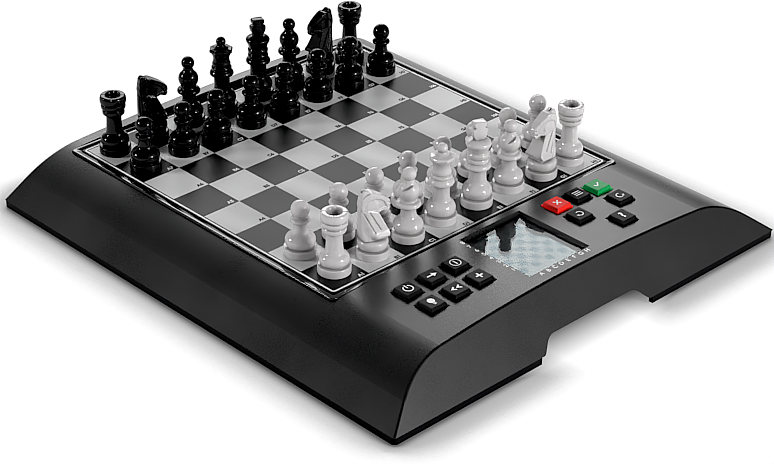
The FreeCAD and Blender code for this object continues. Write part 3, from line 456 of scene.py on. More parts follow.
TURNED = {
    "pawn": FOOT + [TIER + [(7.88, 7.8), (7.8, 8.8), (7.4, 9.8), (6.7, 10.7), (5.8, 11.45), (5.0, 12.05), (4.3, 12.75), (3.85, 13.8),
                            (3.6, 15.2), (3.5, 16.6), (3.6, 17.7), (3.9, 18.35)],
                    [(4.7, 18.6)], [(5.0, 18.9), (5.08, 19.3), (5.05, 19.75)], [(4.8, 20.2), (4.2, 20.6), (3.4, 21.1)],
                    ball(4.85, 25.25, 21.9)],
    "rook": FOOT + [TIER + [(7.75, 7.6), (7.6, 8.6), (7.1, 9.6), (6.3, 10.4), (5.4, 11.1), (4.85, 12.1), (4.5, 13.7), (4.3, 16.2),
                            (4.15, 18.8), (4.15, 20.8), (4.3, 22.1), (4.6, 22.75)],
                    [(5.7, 23.15)], [(6.0, 23.6), (6.08, 24.5), (5.98, 25.5)], [(5.6, 25.85), (5.62, 26.2)],
                    [(6.3, 26.5), (6.72, 27.3), (6.78, 28.3), (6.66, 29.1)], [(6.3, 29.45), (6.35, 29.8)],
                    [(7.0, 30.1), (7.22, 30.9), (7.22, 32.3), (7.05, 33.2)], [(6.75, 33.8), (6.2, 34.12), (5.4, 34.2), (4.35, 34.12)],
                    [(3.95, 33.8), (3.6, 32.9), (3.45, 31.8)], [(3.1, 31.15), (1.6, 30.7), (0, 30.6)]],
    "bishop": FOOT + [TIER + [(7.9, 7.8), (7.75, 8.7), (7.2, 9.8), (6.3, 10.9), (5.4, 11.8), (4.6, 12.7), (4.15, 13.9),
                              (3.95, 15.4), (4.0, 16.9), (4.3, 18.2)],
                      [(5.1, 18.75), (6.1, 19.05)], [(6.42, 19.4), (6.52, 19.9), (6.45, 20.4)], [(6.15, 21.0), (5.6, 21.45), (5.15, 21.65)],
                      [(4.75, 21.8), (4.4, 22.15), (4.2, 22.7)],
                      [(4.45, 23.6), (5.15, 25.0), (5.55, 26.6), (5.58, 27.8), (5.3, 29.2), (4.6, 30.5), (3.6, 31.6), (2.9, 32.6)],
                      [(2.75, 33.3)], ball(3.68, 36.72, 34.1)],
    "queen": FOOT + [TIER + [(7.82, 7.7), (7.65, 9.0), (7.1, 10.3), (6.2, 11.5), (5.25, 12.4), (4.75, 13.6),
                             (4.5, 15.4), (4.45, 17.8), (4.6, 20.2), (4.85, 21.2)],
                     [(5.6, 21.8), (6.4, 22.1)], [(6.72, 22.5), (6.8, 23.1), (6.7, 23.7)], [(6.4, 24.3), (5.95, 24.95)],
                     [(5.6, 25.25), (5.5, 25.6)], [(5.7, 26.0), (5.7, 26.9), (5.4, 27.4)], [(5.0, 27.6), (4.95, 28.0)],
                     [(5.16, 28.4), (5.16, 29.5), (4.9, 30.1)],
                     [(4.68, 30.9), (4.6, 32.1), (4.75, 33.2), (5.15, 34.3), (5.7, 35.3), (6.1, 36.1)],
                     [(6.42, 36.3), (6.56, 36.8), (6.52, 37.6)], [(6.2, 38.0), (5.2, 38.2), (4.4, 38.3)],
                     [(3.6, 38.65), (2.8, 39.4), (2.2, 40.2)], ball(2.78, 42.12, 40.6)],
    "king": FOOT + [TIER + [(8.0, 8.0), (7.8, 9.4), (7.1, 10.7), (6.1, 11.9), (5.3, 12.9), (4.9, 14.1),
                            (4.7, 16.0), (4.65, 18.6), (4.75, 20.4), (4.95, 21.0)],
                    [(5.7, 21.5), (6.6, 21.75)], [(6.9, 22.15), (6.98, 22.7), (6.88, 23.3)], [(6.55, 23.9), (6.0, 24.5)],
                    [(5.6, 24.75), (5.52, 25.05)],
                    [(5.78, 25.5), (5.82, 26.4), (5.6, 27.2)], [(5.25, 27.45), (5.18, 27.85)],
                    [(5.6, 28.3), (5.76, 29.2), (5.7, 30.1), (5.45, 30.6)], [(5.2, 30.85), (5.22, 31.3)],
                    [(5.6, 32.6), (6.2, 34.0), (6.7, 35.0), (6.85, 35.8)], [(6.6, 36.5), (5.6, 37.4), (4.0, 38.1), (2.0, 38.5), (0, 38.6)]],
    "knight": FOOT + [[(7.15, 5.05), (7.5, 5.6), (7.85, 6.6), (8.0, 7.8), (7.85, 9.0), (7.3, 9.9)], [(6.4, 10.5), (5.0, 10.9), (0, 11.0)]],
}


def facets(th, r, z):
    """Eight flats round the rim of the queen's crown."""
    w = min(1.0, max(0.0, (z - 35.9) / 0.5)) * min(1.0, max(0.0, (39.0 - z) / 0.9))
    flat = math.cos(math.pi / 8) / np.cos((th + math.pi / 8) % (math.pi / 4) - math.pi / 8)
    return r * (1 - w + w * flat * 1.045)


def prism(outline, half, ease=0.45):
    """Flat piece across Y with eased edges: outline in X and Z."""
    p = np.array(outline, float)
    c = p.mean(0)
    n = len(p)
    nxt, prv = np.roll(p, -1, 0), np.roll(p, 1, 0)
    d1, d2 = p - prv, nxt - p
    n1 = np.stack([d1[:, 1], -d1[:, 0]], 1) / np.hypot(*d1.T)[:, None]
    n2 = np.stack([d2[:, 1], -d2[:, 0]], 1) / np.hypot(*d2.T)[:, None]
    m = n1 + n2
    m /= (m * n1).sum(1)[:, None]
    rings = []
    for k in range(5):
        a = k / 4 * math.pi / 2
        off = ease * (1 - math.sin(a))
        rings.append((p - m * off, -half + ease * (1 - math.cos(a))))
    for k in range(4, -1, -1):
        a = k / 4 * math.pi / 2
        off = ease * (1 - math.sin(a))
        rings.append((p - m * off, half - ease * (1 - math.cos(a))))
    verts, faces = [], []
    for q, y in rings:
        verts += [(x, y, z) for x, z in q]
    for k in range(len(rings) - 1):
        for i in range(n):
            j = (i + 1) % n
            faces.append((k * n + i, k * n + j, (k + 1) * n + j, (k + 1) * n + i))
    faces.append(tuple(range(n - 1, -1, -1)))
    faces.append(tuple(range((len(rings) - 1) * n, len(rings) * n)))
    return np.array(verts), faces


# implicit knight's head --------------------------------------------------
def poly_dist(px, pz, pts):
    """Signed distance from grid points to a closed outline, negative inside."""
    p = np.array(pts, float)
    d = np.full(px.shape, 1e9)
    inside = np.zeros(px.shape, bool)
    for a, b in zip(p, np.roll(p, -1, 0)):
        e = b - a
        wx, wz = px - a[0], pz - a[1]
        t = np.clip((wx * e[0] + wz * e[1]) / (e @ e), 0, 1)
        d = np.minimum(d, np.hypot(wx - e[0] * t, wz - e[1] * t))
        cond = (a[1] > pz) != (b[1] > pz)
        with np.errstate(divide="ignore", invalid="ignore"):
            xi = a[0] + (pz - a[1]) * e[0] / (e[1] if abs(e[1]) > 1e-9 else 1e-9)
        inside ^= cond & (px < xi)
    return np.where(inside, -d, d)


def curve_dist(px, pz, pts):
    p = run(pts, 0.3)
    d = np.full(px.shape, 1e9)
    for a, b in zip(p[:-1], p[1:]):
        e = b - a
        t = np.clip(((px - a[0]) * e[0] + (pz - a[1]) * e[1]) / max(1e-9, e @ e), 0, 1)
        d = np.minimum(d, np.hypot(px - a[0] - e[0] * t, pz - a[1] - e[1] * t))
    return d


def slab(d2, y, half, r):
    a, b = d2 + r, np.abs(y) - half + r
    return np.minimum(np.maximum(a, b), 0) + np.hypot(np.maximum(a, 0), np.maximum(b, 0)) - r


def blend_min(a, b, k):
    w = np.clip(0.5 + 0.5 * (b - a) / k, 0, 1)
    return b * (1 - w) + a * w - k * w * (1 - w)


def blend_max(a, b, k):
    return -blend_min(-a, -b, k)


def net(F, origin, step):
    """Quad mesh of the zero surface of a sampled field."""
    s = F < 0
    n = np.array(F.shape)
    m = n - 1
    corner = [(i, j, k) for i in (0, 1) for j in (0, 1) for k in (0, 1)]
    part = lambda A, o: A[o[0]:o[0] + m[0], o[1]:o[1] + m[1], o[2]:o[2] + m[2]]
    cnt = sum(part(s, o).astype(int) for o in corner)
    mixed = (cnt > 0) & (cnt < 8)
    acc, num = np.zeros(tuple(m) + (3,)), np.zeros(tuple(m))
    for a in corner:
        for ax in range(3):
            if a[ax]:
                continue
            b = list(a)
            b[ax] = 1
            fa, fb = part(F, a), part(F, b)
            cross = (fa < 0) != (fb < 0)
            t = np.where(cross, fa / np.where(cross, fa - fb, 1), 0)
            for c in range(3):
                acc[..., c] += np.where(cross, a[c] + (t if c == ax else 0), 0)
            num += cross
    ids = -np.ones(tuple(m), int)
    ids[mixed] = np.arange(mixed.sum())
    cell = np.argwhere(mixed)
    pos = np.array(origin) + (cell + acc[mixed] / num[mixed][:, None]) * step
    quads = []
    for ax in range(3):
        u, v = (ax + 1) % 3, (ax + 2) % 3
        sl0, sl1 = [slice(None)] * 3, [slice(None)] * 3
        sl0[ax], sl1[ax] = slice(0, -1), slice(1, None)
        flip = s[tuple(sl0)] != s[tuple(sl1)]
        for e in np.argwhere(flip):
            if e[u] == 0 or e[v] == 0 or e[u] >= m[u] or e[v] >= m[v]:
                continue
            c = [e.copy() for _ in range(4)]
            c[1][u] -= 1
            c[2][u] -= 1
            c[2][v] -= 1
            c[3][v] -= 1
            q = [ids[tuple(x)] for x in c]
            if min(q) < 0:
                continue
            quads.append(q if s[tuple(e)] else q[::-1])
    return pos, quads


def ease_mesh(pos, quads, rounds):
    q = np.array(quads)
    e = np.vstack([q[:, [0, 1]], q[:, [1, 2]], q[:, [2, 3]], q[:, [3, 0]]])
    for k in range(rounds):
        for f in (0.5, -0.52):
            acc, cnt = np.zeros_like(pos), np.zeros(len(pos))
            np.add.at(acc, e[:, 0], pos[e[:, 1]])
            np.add.at(acc, e[:, 1], pos[e[:, 0]])
            np.add.at(cnt, e[:, 0], 1)
            np.add.at(cnt, e[:, 1], 1)
            pos = pos + f * (acc / np.maximum(cnt, 1)[:, None] - pos)
    return pos


def knight_head():
    step = 0.25
    gx, gy, gz = np.arange(-9.6, 10.4, step), np.arange(-7.6, 7.61, step), np.arange(9.4, 39.9, step)
    X, Y, Z = np.meshgrid(gx, gy, gz, indexing="ij")
    PX, PZ = np.meshgrid(gx, gz, indexing="ij")
    wide = lambda d: np.broadcast_to(d[:, None, :], X.shape)
    A = np.abs(Y)
    neck = [(-6.4, 10.2), (-7.6, 11.8), (-8.2, 15.0), (-8.4, 20.0), (-8.3, 26.0), (-8.1, 31.0), (-7.4, 34.0), (-6.2, 35.8),
            (-3.8, 36.6), (-1.5, 35.9), (2.6, 30.0), (2.0, 24.9), (4.0, 19.8), (5.8, 14.4), (5.4, 10.2)]
    head = [(-7.3, 33.8), (-5.4, 35.8), (-2.9, 36.9), (-1.2, 36.75), (0.6, 35.9), (5.0, 33.4), (7.9, 31.2), (8.75, 30.1), (9.0, 28.6),
            (8.8, 26.2), (8.2, 25.0), (7.0, 24.6), (6.0, 25.2), (4.4, 25.8), (2.4, 25.2), (-1.0, 25.8), (-4.6, 26.4), (-7.4, 27.0),
            (-8.0, 30.0)]
    panel = [(-8.1, 27.0), (-3.0, 26.9), (1.8, 25.6), (4.3, 20.4), (6.7, 15.2), (7.0, 13.9), (6.3, 12.4), (-3.8, 11.7), (-5.6, 15.0), (-7.0, 18.6)]
    cheek = [(-6.6, 26.6), (-6.4, 29.6), (-4.9, 32.2), (-2.4, 33.2), (0.4, 33.2), (3.0, 32.3), (5.1, 30.7), (6.2, 28.6), (6.5, 27.4), (3.0, 26.6)]
    tn = np.interp(gz, [9, 12, 16, 20, 24, 28, 34, 38], [5.6, 4.7, 3.8, 3.2, 2.9, 2.9, 2.7, 2.3])
    th = np.interp(gx, [-8.5, -7, -3, 1, 5, 8, 9.2], [2.2, 2.75, 3.1, 3.0, 2.5, 1.95, 1.7])
    tp = np.interp(gz, [11, 13.1, 13.7, 14.6, 15.6, 17, 20, 24, 27], [6.6, 6.6, 6.35, 5.75, 5.25, 4.8, 4.25, 3.75, 3.45])
    dn, dh, dp, dc = (poly_dist(PX, PZ, q) for q in (neck, head, panel, cheek))
    TN = tn[None, None, :] * (0.45 + 0.55 * np.sqrt(np.clip((X + 8.5) / 4.4, 0.0, 1.0)))
    TH = th[:, None, None] * np.ones_like(X)
    TP = tp[None, None, :] * np.ones_like(X)
    f_neck = slab(wide(dn), Y, TN, 1.2)
    f_head = slab(wide(dh), Y, TH, 0.4)
    left = np.interp(gz, [11.7, 15.0, 18.6, 27.0], [-3.8, -5.6, -7.0, -8.1])[None, None, :]
    w = np.clip((X - left) / 4.5, 0.0, 1.0)
    w = w * w * (3 - 2 * w)
    TP = np.minimum(TP, TN) * (1 - w) + TP * w
    f_panel = slab(wide(dp), Y, TP, 0.45)
    for a, b in (((-6.8, 26.6), (-1.0, 14.9)), ((-3.7, 26.8), (2.1, 16.2))):
        e = np.array(b) - np.array(a)
        L = np.hypot(*e)
        along = ((X - a[0]) * e[0] + (Z - a[1]) * e[1]) / L
        off = np.abs((X - a[0]) * e[1] - (Z - a[1]) * e[0]) / L
        f_panel = np.maximum(f_panel, -np.maximum(np.hypot(off, (TP - A) * 0.9) - 0.42, np.maximum(-along, along - L)))
    f_head = np.maximum(f_head, -blend_max(wide(dc), TH - 0.5 - A, 0.5))
    f = blend_min(f_neck, f_head, 0.4)
    f = blend_min(f, f_panel, 0.35)
    mouth = curve_dist(PX, PZ, [(9.4, 27.5), (7.0, 27.0)])
    f = np.maximum(f, -(np.hypot(wide(mouth), (A - TH) * 0.7) - 0.36))
    nostril = np.sqrt((X - 8.0) ** 2 + (Z - 29.3) ** 2 + (A - TH) ** 2) - 0.45
    f = np.maximum(f, -nostril)
    crest = poly_dist(PX, PZ, [(-7.6, 33.0), (-7.1, 36.6), (-6.3, 38.0), (-5.3, 38.2), (-3.4, 37.2), (-2.2, 36.2), (-3.0, 33.0)])
    f = blend_min(f, slab(wide(crest), Y, 2.1 * np.ones_like(X), 0.5), 0.5)
    f = np.maximum(f, -np.maximum(np.hypot(Y, np.maximum(37.3 - Z, 0)) - 0.45, X + 3.0))
    pos, quads = net(f, (gx[0], gy[0], gz[0]), step)
    return ease_mesh(pos, quads, 4), quads


def cut_with(me, boxes):
    """Subtracts thin blades from a mesh and returns the result."""
    o = bpy.data.objects.new("cut_base", me)
    scene.collection.objects.link(o)
    tools = []
    for (cx, cy, cz), (sx, sy, sz), rot in boxes:
        v = [(x * sx / 2, y * sy / 2, z * sz / 2) for x in (-1, 1) for y in (-1, 1) for z in (-1, 1)]
        f = [(0, 1, 3, 2), (4, 6, 7, 5), (0, 4, 5, 1), (2, 3, 7, 6), (0, 2, 6, 4), (1, 5, 7, 3)]
        b = bpy.data.meshes.new("blade")
        b.from_pydata(v, [], f)
        t = bpy.data.objects.new("blade", b)
        scene.collection.objects.link(t)
        t.matrix_world = Matrix.Translation((cx, cy, cz)) @ rot
        md = o.modifiers.new("cut", "BOOLEAN")
        md.operation, md.solver, md.object = "DIFFERENCE", "EXACT", t
        tools.append(t)
    bpy.context.view_layer.update()
    out = bpy.data.meshes.new_from_object(o.evaluated_get(bpy.context.evaluated_depsgraph_get()))
    for x in tools + [o]:
        d = x.data
        bpy.data.objects.remove(x)
        if d is not me:
            bpy.data.meshes.remove(d)
    return out


CROSS = [(-2.2, 37.2), (2.2, 37.2), (3.0, 39.3), (3.85, 41.0), (4.2, 42.2), (4.2, 44.0), (3.85, 44.55), (2.9, 44.8), (2.55, 45.2),
         (2.85, 45.65), (3.4, 46.0), (3.5, 47.7), (3.05, 48.3), (2.2, 48.45), (-2.2, 48.45), (-3.05, 48.3), (-3.5, 47.7), (-3.4, 46.0),
         (-2.85, 45.65), (-2.55, 45.2), (-2.9, 44.8), (-3.85, 44.55), (-4.2, 44.0), (-4.2, 42.2), (-3.85, 41.0), (-3.0, 39.3)]


def man_mesh(kind):
    prof = contour(TURNED[kind])
    v, f = lathe(prof, seg=80, shape=facets if kind == "queen" else None)
    if kind == "king":
        v, f = join((v, f), prism(CROSS, 2.25, 0.35))
    if kind == "knight":
        v, f = join((v, f), knight_head())
    me = mesh(kind, v * MM, f, M["white"], sharp=38 if kind != "knight" else 50)
    if kind in ("rook", "bishop"):
        if kind == "rook":
            blades = [((0, 0, 0.03455), (0.02, 0.00055, 0.002), Matrix.Rotation(math.radians(a), 4, "Z")) for a in (45, 135)]
        else:
            blades = [((0.0060, 0, 0.0310), (0.0054, 0.014, 0.0010),
                       Matrix.Rotation(math.radians(27), 4, "X") @ Matrix.Rotation(math.radians(8), 4, "Y"))]
        me2 = cut_with(me, blades)
        bpy.data.meshes.remove(me)
        me = me2
        me.name = kind
        me.set_sharp_from_angle(angle=math.radians(38))
    return me


MEN = {k: man_mesh(k) for k in TURNED}
BACK = [("rook_a", "rook"), ("knight_b", "knight"), ("bishop_c", "bishop"), ("queen", "queen"), ("king", "king"),
        ("bishop_f", "bishop"), ("knight_g", "knight"), ("rook_h", "rook")]
# men that stand a little off the middle of their squares, mm, and the way some are turned, degrees
ASIDE = {"white_rook_a": (1.2, 1.7), "white_knight_b": (1.2, 0.4), "white_bishop_c": (1.6, 0.8), "white_queen": (1.3, 2.0),
         "white_king": (3.0, 1.9), "white_bishop_f": (2.3, 2.1), "white_knight_g": (1.1, 0.0), "white_rook_h": (-0.9, 1.2),
         "white_pawn_a": (0.7, 1.35), "white_pawn_b": (2.0, 1.5), "white_pawn_c": (1.6, 1.0), "white_pawn_d": (1.6, 2.0),
         "white_pawn_e": (1.5, 1.5), "white_pawn_f": (1.6, 2.0), "white_pawn_g": (1.15, 1.1), "white_pawn_h": (-0.2, 0.8),
         "black_rook_a": (-0.6, 0.9), "black_bishop_c": (1.1, 0.1), "black_king": (1.1, -1.1), "black_bishop_f": (1.0, 0.3),
         "black_rook_h": (-1.2, 0.5), "black_pawn_b": (1.7, 0.4), "black_pawn_d": (0.5, 0.5), "black_pawn_f": (0.3, 0.0),
         "black_pawn_h": (0.1, -0.1)}
TURN = {"white_knight_b": -17.0, "black_knight_b": -17.0, "white_knight_g": 180.0, "black_knight_g": 180.0, "white_king": -20.0,
        "black_king": -20.0, "white_bishop_c": -121.0, "white_bishop_f": -97.0, "black_bishop_c": -100.0, "black_bishop_f": -115.0}
for side, home, front in (("white", 0, 1), ("black", 7, 6)):
    meshes = {}
    for k, me in MEN.items():
        meshes[k] = me if side == "white" else me.copy()
        meshes[k].name = "%s_%s_mesh" % (side, k)
        meshes[k].materials.clear()
        meshes[k].materials.append(M[side])
    row = [(n, k, c, home) for c, (n, k) in enumerate(BACK)]
    row += [("pawn_" + "abcdefgh"[c], "pawn", c, front) for c in range(8)]
    for n, k, c, r in row:
        label = "%s_%s" % (side, n)
        dx, dy = ASIDE.get(label, (0.0, 0.0))
        piece(label + "_turned", meshes[k], label, ((c - 3.5) * SQ + dx, BOARD_Y + (r - 3.5) * SQ + dy, MEN_Z),
              math.radians(TURN.get(label, 0.0)), label)

# ------------------------------------------------------------------ frame round the board
def rounded_square(half, r, n=10):
    """Corner points of a square with rounded corners, counter-clockwise."""
    pts = []
    for cx, cy, a0 in ((1, 1, 0), (-1, 1, 90), (-1, -1, 180), (1, -1, 270)):
        for k in range(n + 1):
            a = math.radians(a0 + 90.0 * k / n)
            pts.append((cx * (half - r) + r * math.cos(a), cy * (half - r) + r * math.sin(a)))
    return pts


lip = [(105.55, 23.5), (105.55, 27.5), (105.52, 27.75), (105.42, 27.92), (105.25, 28.0)]
lip += [(105.25 - d, 28.0 - d * d / 22.8) for d in np.linspace(0.45, 3.65, 9)]
lip += [(101.5, 27.33), (101.42, 27.2), (101.42, 26.2), (101.42, 23.5)]
rings = [rounded_square(a, max(0.35, 2.7 - (105.55 - a) * 0.57)) for a, z in lip]
count = len(rings[0])
v = np.array([(x, y + BOARD_Y, lip[k][1]) for k, ring in enumerate(rings) for x, y in ring])
f = [(k * count + i, k * count + (i + 1) % count, (k + 1) % len(lip) * count + (i + 1) % count, (k + 1) % len(lip) * count + i)
     for k in range(len(lip)) for i in range(count)]
piece("board_frame_lip", mesh("board_frame_lip", v * MM, f, M["frame"], sharp=50), "case", stands_for="board_frame")

# ------------------------------------------------------------------ keys and printing
KEYS = {"key_power": (-75.0, -93.0), "key_hint": (-58.5, -93.0), "key_info": (-42.0, -93.0), "key_light": (-75.0, -109.6),
        "key_takeback": (-58.5, -109.6), "key_new": (-42.0, -109.6), "key_clear": (40.6, -86.3), "key_menu": (56.4, -86.3),
        "key_enter": (72.2, -86.3), "key_left": (40.6, -102.0), "key_right": (72.2, -102.0), "key_help": (56.4, -117.6)}
for k in KEYS:
    wear(k, M["key_red" if k == "key_clear" else "key_green" if k == "key_enter" else "key"])


def inked(name, loops, thick=0.03):
    """Flat print from closed outlines (mm) as a thin closed sheet; inner outlines are holes."""
    c = bpy.data.curves.new(name, "CURVE")
    c.dimensions, c.fill_mode, c.extrude = "2D", "BOTH", thick / 2
    for pts in loops:
        s = c.splines.new("POLY")
        s.points.add(len(pts) - 1)
        for p, (x, y) in zip(s.points, pts):
            p.co = (x, y, 0, 1)
        s.use_cyclic_u = True
    return from_curve(c)


def from_curve(c):
    o = bpy.data.objects.new(c.name + "_src", c)
    scene.collection.objects.link(o)
    bpy.context.view_layer.update()
    me = bpy.data.meshes.new_from_object(o.evaluated_get(bpy.context.evaluated_depsgraph_get()))
    bpy.data.objects.remove(o)
    v = np.zeros(len(me.vertices) * 3)
    me.vertices.foreach_get("co", v)
    f = [tuple(p.vertices) for p in me.polygons]
    bpy.data.meshes.remove(me)
    return v.reshape(-1, 3), f


def lettering(text, size, thick=0.03, align="CENTER", bold=0.05):
    """Text as a thin closed sheet, size is the cap height in mm."""
    c = bpy.data.curves.new("letters", "FONT")
    c.body, c.size, c.extrude = text, size / 0.70, thick / 2
    c.align_x, c.align_y = align, "CENTER"
    c.resolution_u = 3
    c.offset = bold * size
    return from_curve(c)


def arc_pts(cx, cy, r, a0, a1, n=28):
    return [(cx + r * math.cos(math.radians(a0 + (a1 - a0) * k / n)), cy + r * math.sin(math.radians(a0 + (a1 - a0) * k / n)))
            for k in range(n + 1)]


def ring_part(cx, cy, r0, r1, a0, a1, n=28):
    return arc_pts(cx, cy, r1, a0, a1, n) + arc_pts(cx, cy, r0, a1, a0, n)


def bar(cx, cy, w, h):
    return [(cx - w / 2, cy - h / 2), (cx + w / 2, cy - h / 2), (cx + w / 2, cy + h / 2), (cx - w / 2, cy + h / 2)]


ICONS = {
    "key_power": [ring_part(0, -0.2, 2.25, 2.85, 120, 420), bar(0, 1.55, 0.62, 3.0)],
    "key_light": [arc_pts(0, 0.7, 2.0, -52, 232) + [(-0.95, -1.35), (0.95, -1.35)], bar(0, -1.9, 1.9, 0.5), bar(0, -2.65, 1.4, 0.5)],
    "key_hint": [[(-3.2, -0.45), (0.4, -0.45), (0.4, -1.7), (3.2, 0.0), (0.4, 1.7), (0.4, 0.45), (-3.2, 0.45)]],
    "key_takeback": [[(-3.3, 0), (-0.5, 1.8), (-0.5, 0.75), (-1.6, 0), (-0.5, -0.75), (-0.5, -1.8)],
                     [(0.2, 0), (3.0, 1.8), (3.0, 0.75), (1.9, 0), (3.0, -0.75), (3.0, -1.8)]],
    "key_new": [[(-0.5, -2.2), (0.5, -2.2), (0.5, -0.5), (2.2, -0.5), (2.2, 0.5), (0.5, 0.5), (0.5, 2.2), (-0.5, 2.2), (-0.5, 0.5),
                 (-2.2, 0.5), (-2.2, -0.5), (-0.5, -0.5)]],
    "key_clear": [[(-1.9, -1.35), (-1.35, -1.9), (0, -0.55), (1.35, -1.9), (1.9, -1.35), (0.55, 0), (1.9, 1.35), (1.35, 1.9), (0, 0.55),
                   (-1.35, 1.9), (-1.9, 1.35), (-0.55, 0)]],
    "key_menu": [bar(0, 1.5, 5.2, 0.62), bar(0, 0, 5.2, 0.62), bar(0, -1.5, 5.2, 0.62)],
    "key_enter": [[(-2.3, 0.0), (-1.75, 0.6), (-0.7, -0.45), (1.8, 2.0), (2.35, 1.45), (-0.7, -1.6)]],
    "key_left": [ring_part(0, 0, 1.6, 2.15, 200, 480), [(-2.75, -0.35), (-1.1, -0.35), (-1.9, -1.95)]],
    "key_right": [ring_part(0, 0, 1.6, 2.15, 60, 340), [(2.75, -0.35), (1.1, -0.35), (1.9, -1.95)]],
}
for k, (x, y) in KEYS.items():
    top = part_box(k)[1].z * 1000
    if k in ICONS:
        v, f = join(*[inked(k + "_ink", [lp]) for lp in ICONS[k]])
    else:
        v, f = lettering("i" if k == "key_info" else "?", 4.8)
        if k == "key_info":
            v, f = join((v * 0.72, f), inked(k + "_ring", [arc_pts(0, 0, 3.1, 0, 360, 40)[:-1], arc_pts(0, 0, 2.6, 0, 360, 40)[:-1]]))
    piece(k + "_symbol", mesh(k + "_symbol", (v + [x, y, top + 0.01]) * MM, f, M["ink"], smooth=False), k)

# silicone mats under the keys: a flat sheet per group, and a dome under each key
def block(x0, x1, y0, y1, z0, z1):
    v = np.array([(x, y, z) for x in (x0, x1) for y in (y0, y1) for z in (z0, z1)], float)
    return v, [(0, 1, 3, 2), (4, 6, 7, 5), (0, 4, 5, 1), (2, 3, 7, 6), (0, 2, 6, 4), (1, 5, 7, 3)]


v, f = join(block(-84.0, -32.5, -119.0, -84.0, 17.5, 18.7), block(31.5, 81.5, -126.0, -77.6, 17.5, 18.7))
piece("key_mat_sheets", mesh("key_mat_sheets", v * MM, f, M["silicone"], smooth=False), "case", stands_for="key_mats")
v, f = lathe([(0, 18.7), (5.0, 18.7), (4.9, 19.0), (2.75, 21.75), (2.5, 21.9), (0, 21.9)], seg=40)
for k, (x, y) in KEYS.items():
    dome = piece(k + "_dome", mesh(k + "_dome", v * MM, f, M["silicone"], sharp=30), "case", (x, y, 0))
    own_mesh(dome)

# scale along the display: files in front, ranks at the left
parts = []
for n in range(8):
    x, y = -23.3, -79.8 - 5.06 * n
    v, f = lettering(str(8 - n), 2.6, bold=0.035)
    parts.append((v + [x, y, panel_z(x) + 0.035], f))
    x, y = -15.9 + 4.83 * n, -127.6
    v, f = lettering("ABCDEFGH"[n], 2.6, bold=0.03)
    parts.append((v + [x, y, panel_z(x) + 0.035], f))
v, f = join(*parts)
piece("display_scale_print", mesh("display_scale_print", v * MM, f, M["ink"], smooth=False), "case")

# names of the squares, in the near right corner of each
inks = {0: [], 1: []}
for c in range(8):
    for r in range(8):
        v, f = lettering("ABCDEFGH"[c] + str(r + 1), 2.3, thick=0.02, align="RIGHT", bold=0.065)
        inks[(c + r) % 2].append((v + [(c - 3) * SQ - 1.9, BOARD_Y + (r - 4) * SQ + 2.6, BOARD_Z + 0.012], f))
for odd, mat, word in ((0, "ink_soft", "dark"), (1, "ink_black", "light")):
    v, f = join(*inks[odd])
    piece("square_names_on_" + word, mesh("square_names_on_" + word, v * MM, f, M[mat], smooth=False), "case")

# ------------------------------------------------------------------ camera
axis_angle = Vector((1.9808, -0.7899, 0.4717))
R = Matrix.Rotation(axis_angle.length, 3, axis_angle.normalized())
eye = Vector((-719.3, -770.8 + BOARD_Y, 564.0 + BOARD_Z)) * MM
cam_data = bpy.data.cameras.new("camera")
cam_data.sensor_fit = "HORIZONTAL"
cam_data.sensor_width = 36.0
cam_data.lens = 36.0 * 2188.4 / 774.0
cam_data.clip_start, cam_data.clip_end = 0.01, 60.0
cam = bpy.data.objects.new("camera", cam_data)
scene.collection.objects.link(cam)
right, down, ahead = R[0], R[1], R[2]
cam.matrix_world = Matrix.Translation(eye) @ Matrix((right, -down, -ahead)).transposed().to_4x4()
scene.camera = cam

# ------------------------------------------------------------------ floor and light
fl = bpy.data.meshes.new("floor")
fl.from_pydata([(-6, -6, 0), (6, -6, 0), (6, 6, 0), (-6, 6, 0)], [], [(0, 1, 2, 3)])
floor = bpy.data.objects.new("floor", fl)
scene.collection.objects.link(floor)
# the floor glows white by emission rather than by light
t = Tree("floor_glow_painted_shade")
n = t.noise(3.0, 2.0)
p = t.shader(t.ramp(n, [(0.3, (0.15, 0.15, 0.15)), (0.7, (0.17, 0.17, 0.17))]), 0.9, spec=0.0)
p.inputs["Emission Color"].default_value = (1.0, 1.0, 1.0, 1.0)
# painted contact shadow: the floor's glow falls off where ambient occlusion finds the case close by
ao = t.node("ShaderNodeAmbientOcclusion", samples=32)
ao.inputs["Distance"].default_value = 0.027
shade = t.math("ADD", t.range(ao.outputs["AO"], 0.50, 0.91, 0.08, 0.50), t.range(ao.outputs["AO"], 0.91, 0.99, 0.0, 0.43))
# painted light: the floor's glow is raised in a patch in front of the finger notch, where the case would shade it
sep = t.node("ShaderNodeSeparateXYZ")
t.link(t.co, sep.inputs[0])
notch_light_x = t.range(t.math("ABSOLUTE", sep.outputs[0]), 0.064, 0.028, 0.0, 1.0)
notch_light_y = t.range(sep.outputs[1], -0.136, -0.157, 0.10, 0.92)
t.link(t.math("MAXIMUM", shade, t.math("MULTIPLY", notch_light_x, notch_light_y)), p.inputs["Emission Strength"])
fl.materials.append(t.mat)

world = bpy.data.worlds.new("studio")
scene.world = world
world.use_nodes = True
wt = world.node_tree
wt.nodes.clear()


def wn(kind, **props):
    n = wt.nodes.new(kind)
    for k, v in props.items():
        setattr(n, k, v)
    return n


def wmath(op, a, b=None, c=None):
    n = wn("ShaderNodeMath", operation=op)
    for i, v in enumerate((a, b, c)):
        if v is None:
            continue
        if isinstance(v, bpy.types.NodeSocket):
            wt.links.new(v, n.inputs[i])
        else:
            n.inputs[i].default_value = v
    return n.outputs[0]


def wstep(v, a, b):
    n = wn("ShaderNodeMapRange", interpolation_type="SMOOTHSTEP")
    wt.links.new(v, n.inputs["Value"])
    n.inputs["From Min"].default_value, n.inputs["From Max"].default_value = a, b
    return n.outputs["Result"]


def wdot(direction):
    n = wn("ShaderNodeVectorMath", operation="DOT_PRODUCT")
    wt.links.new(gen, n.inputs[0])
    n.inputs[1].default_value = Vector(direction).normalized()
    return n.outputs["Value"]


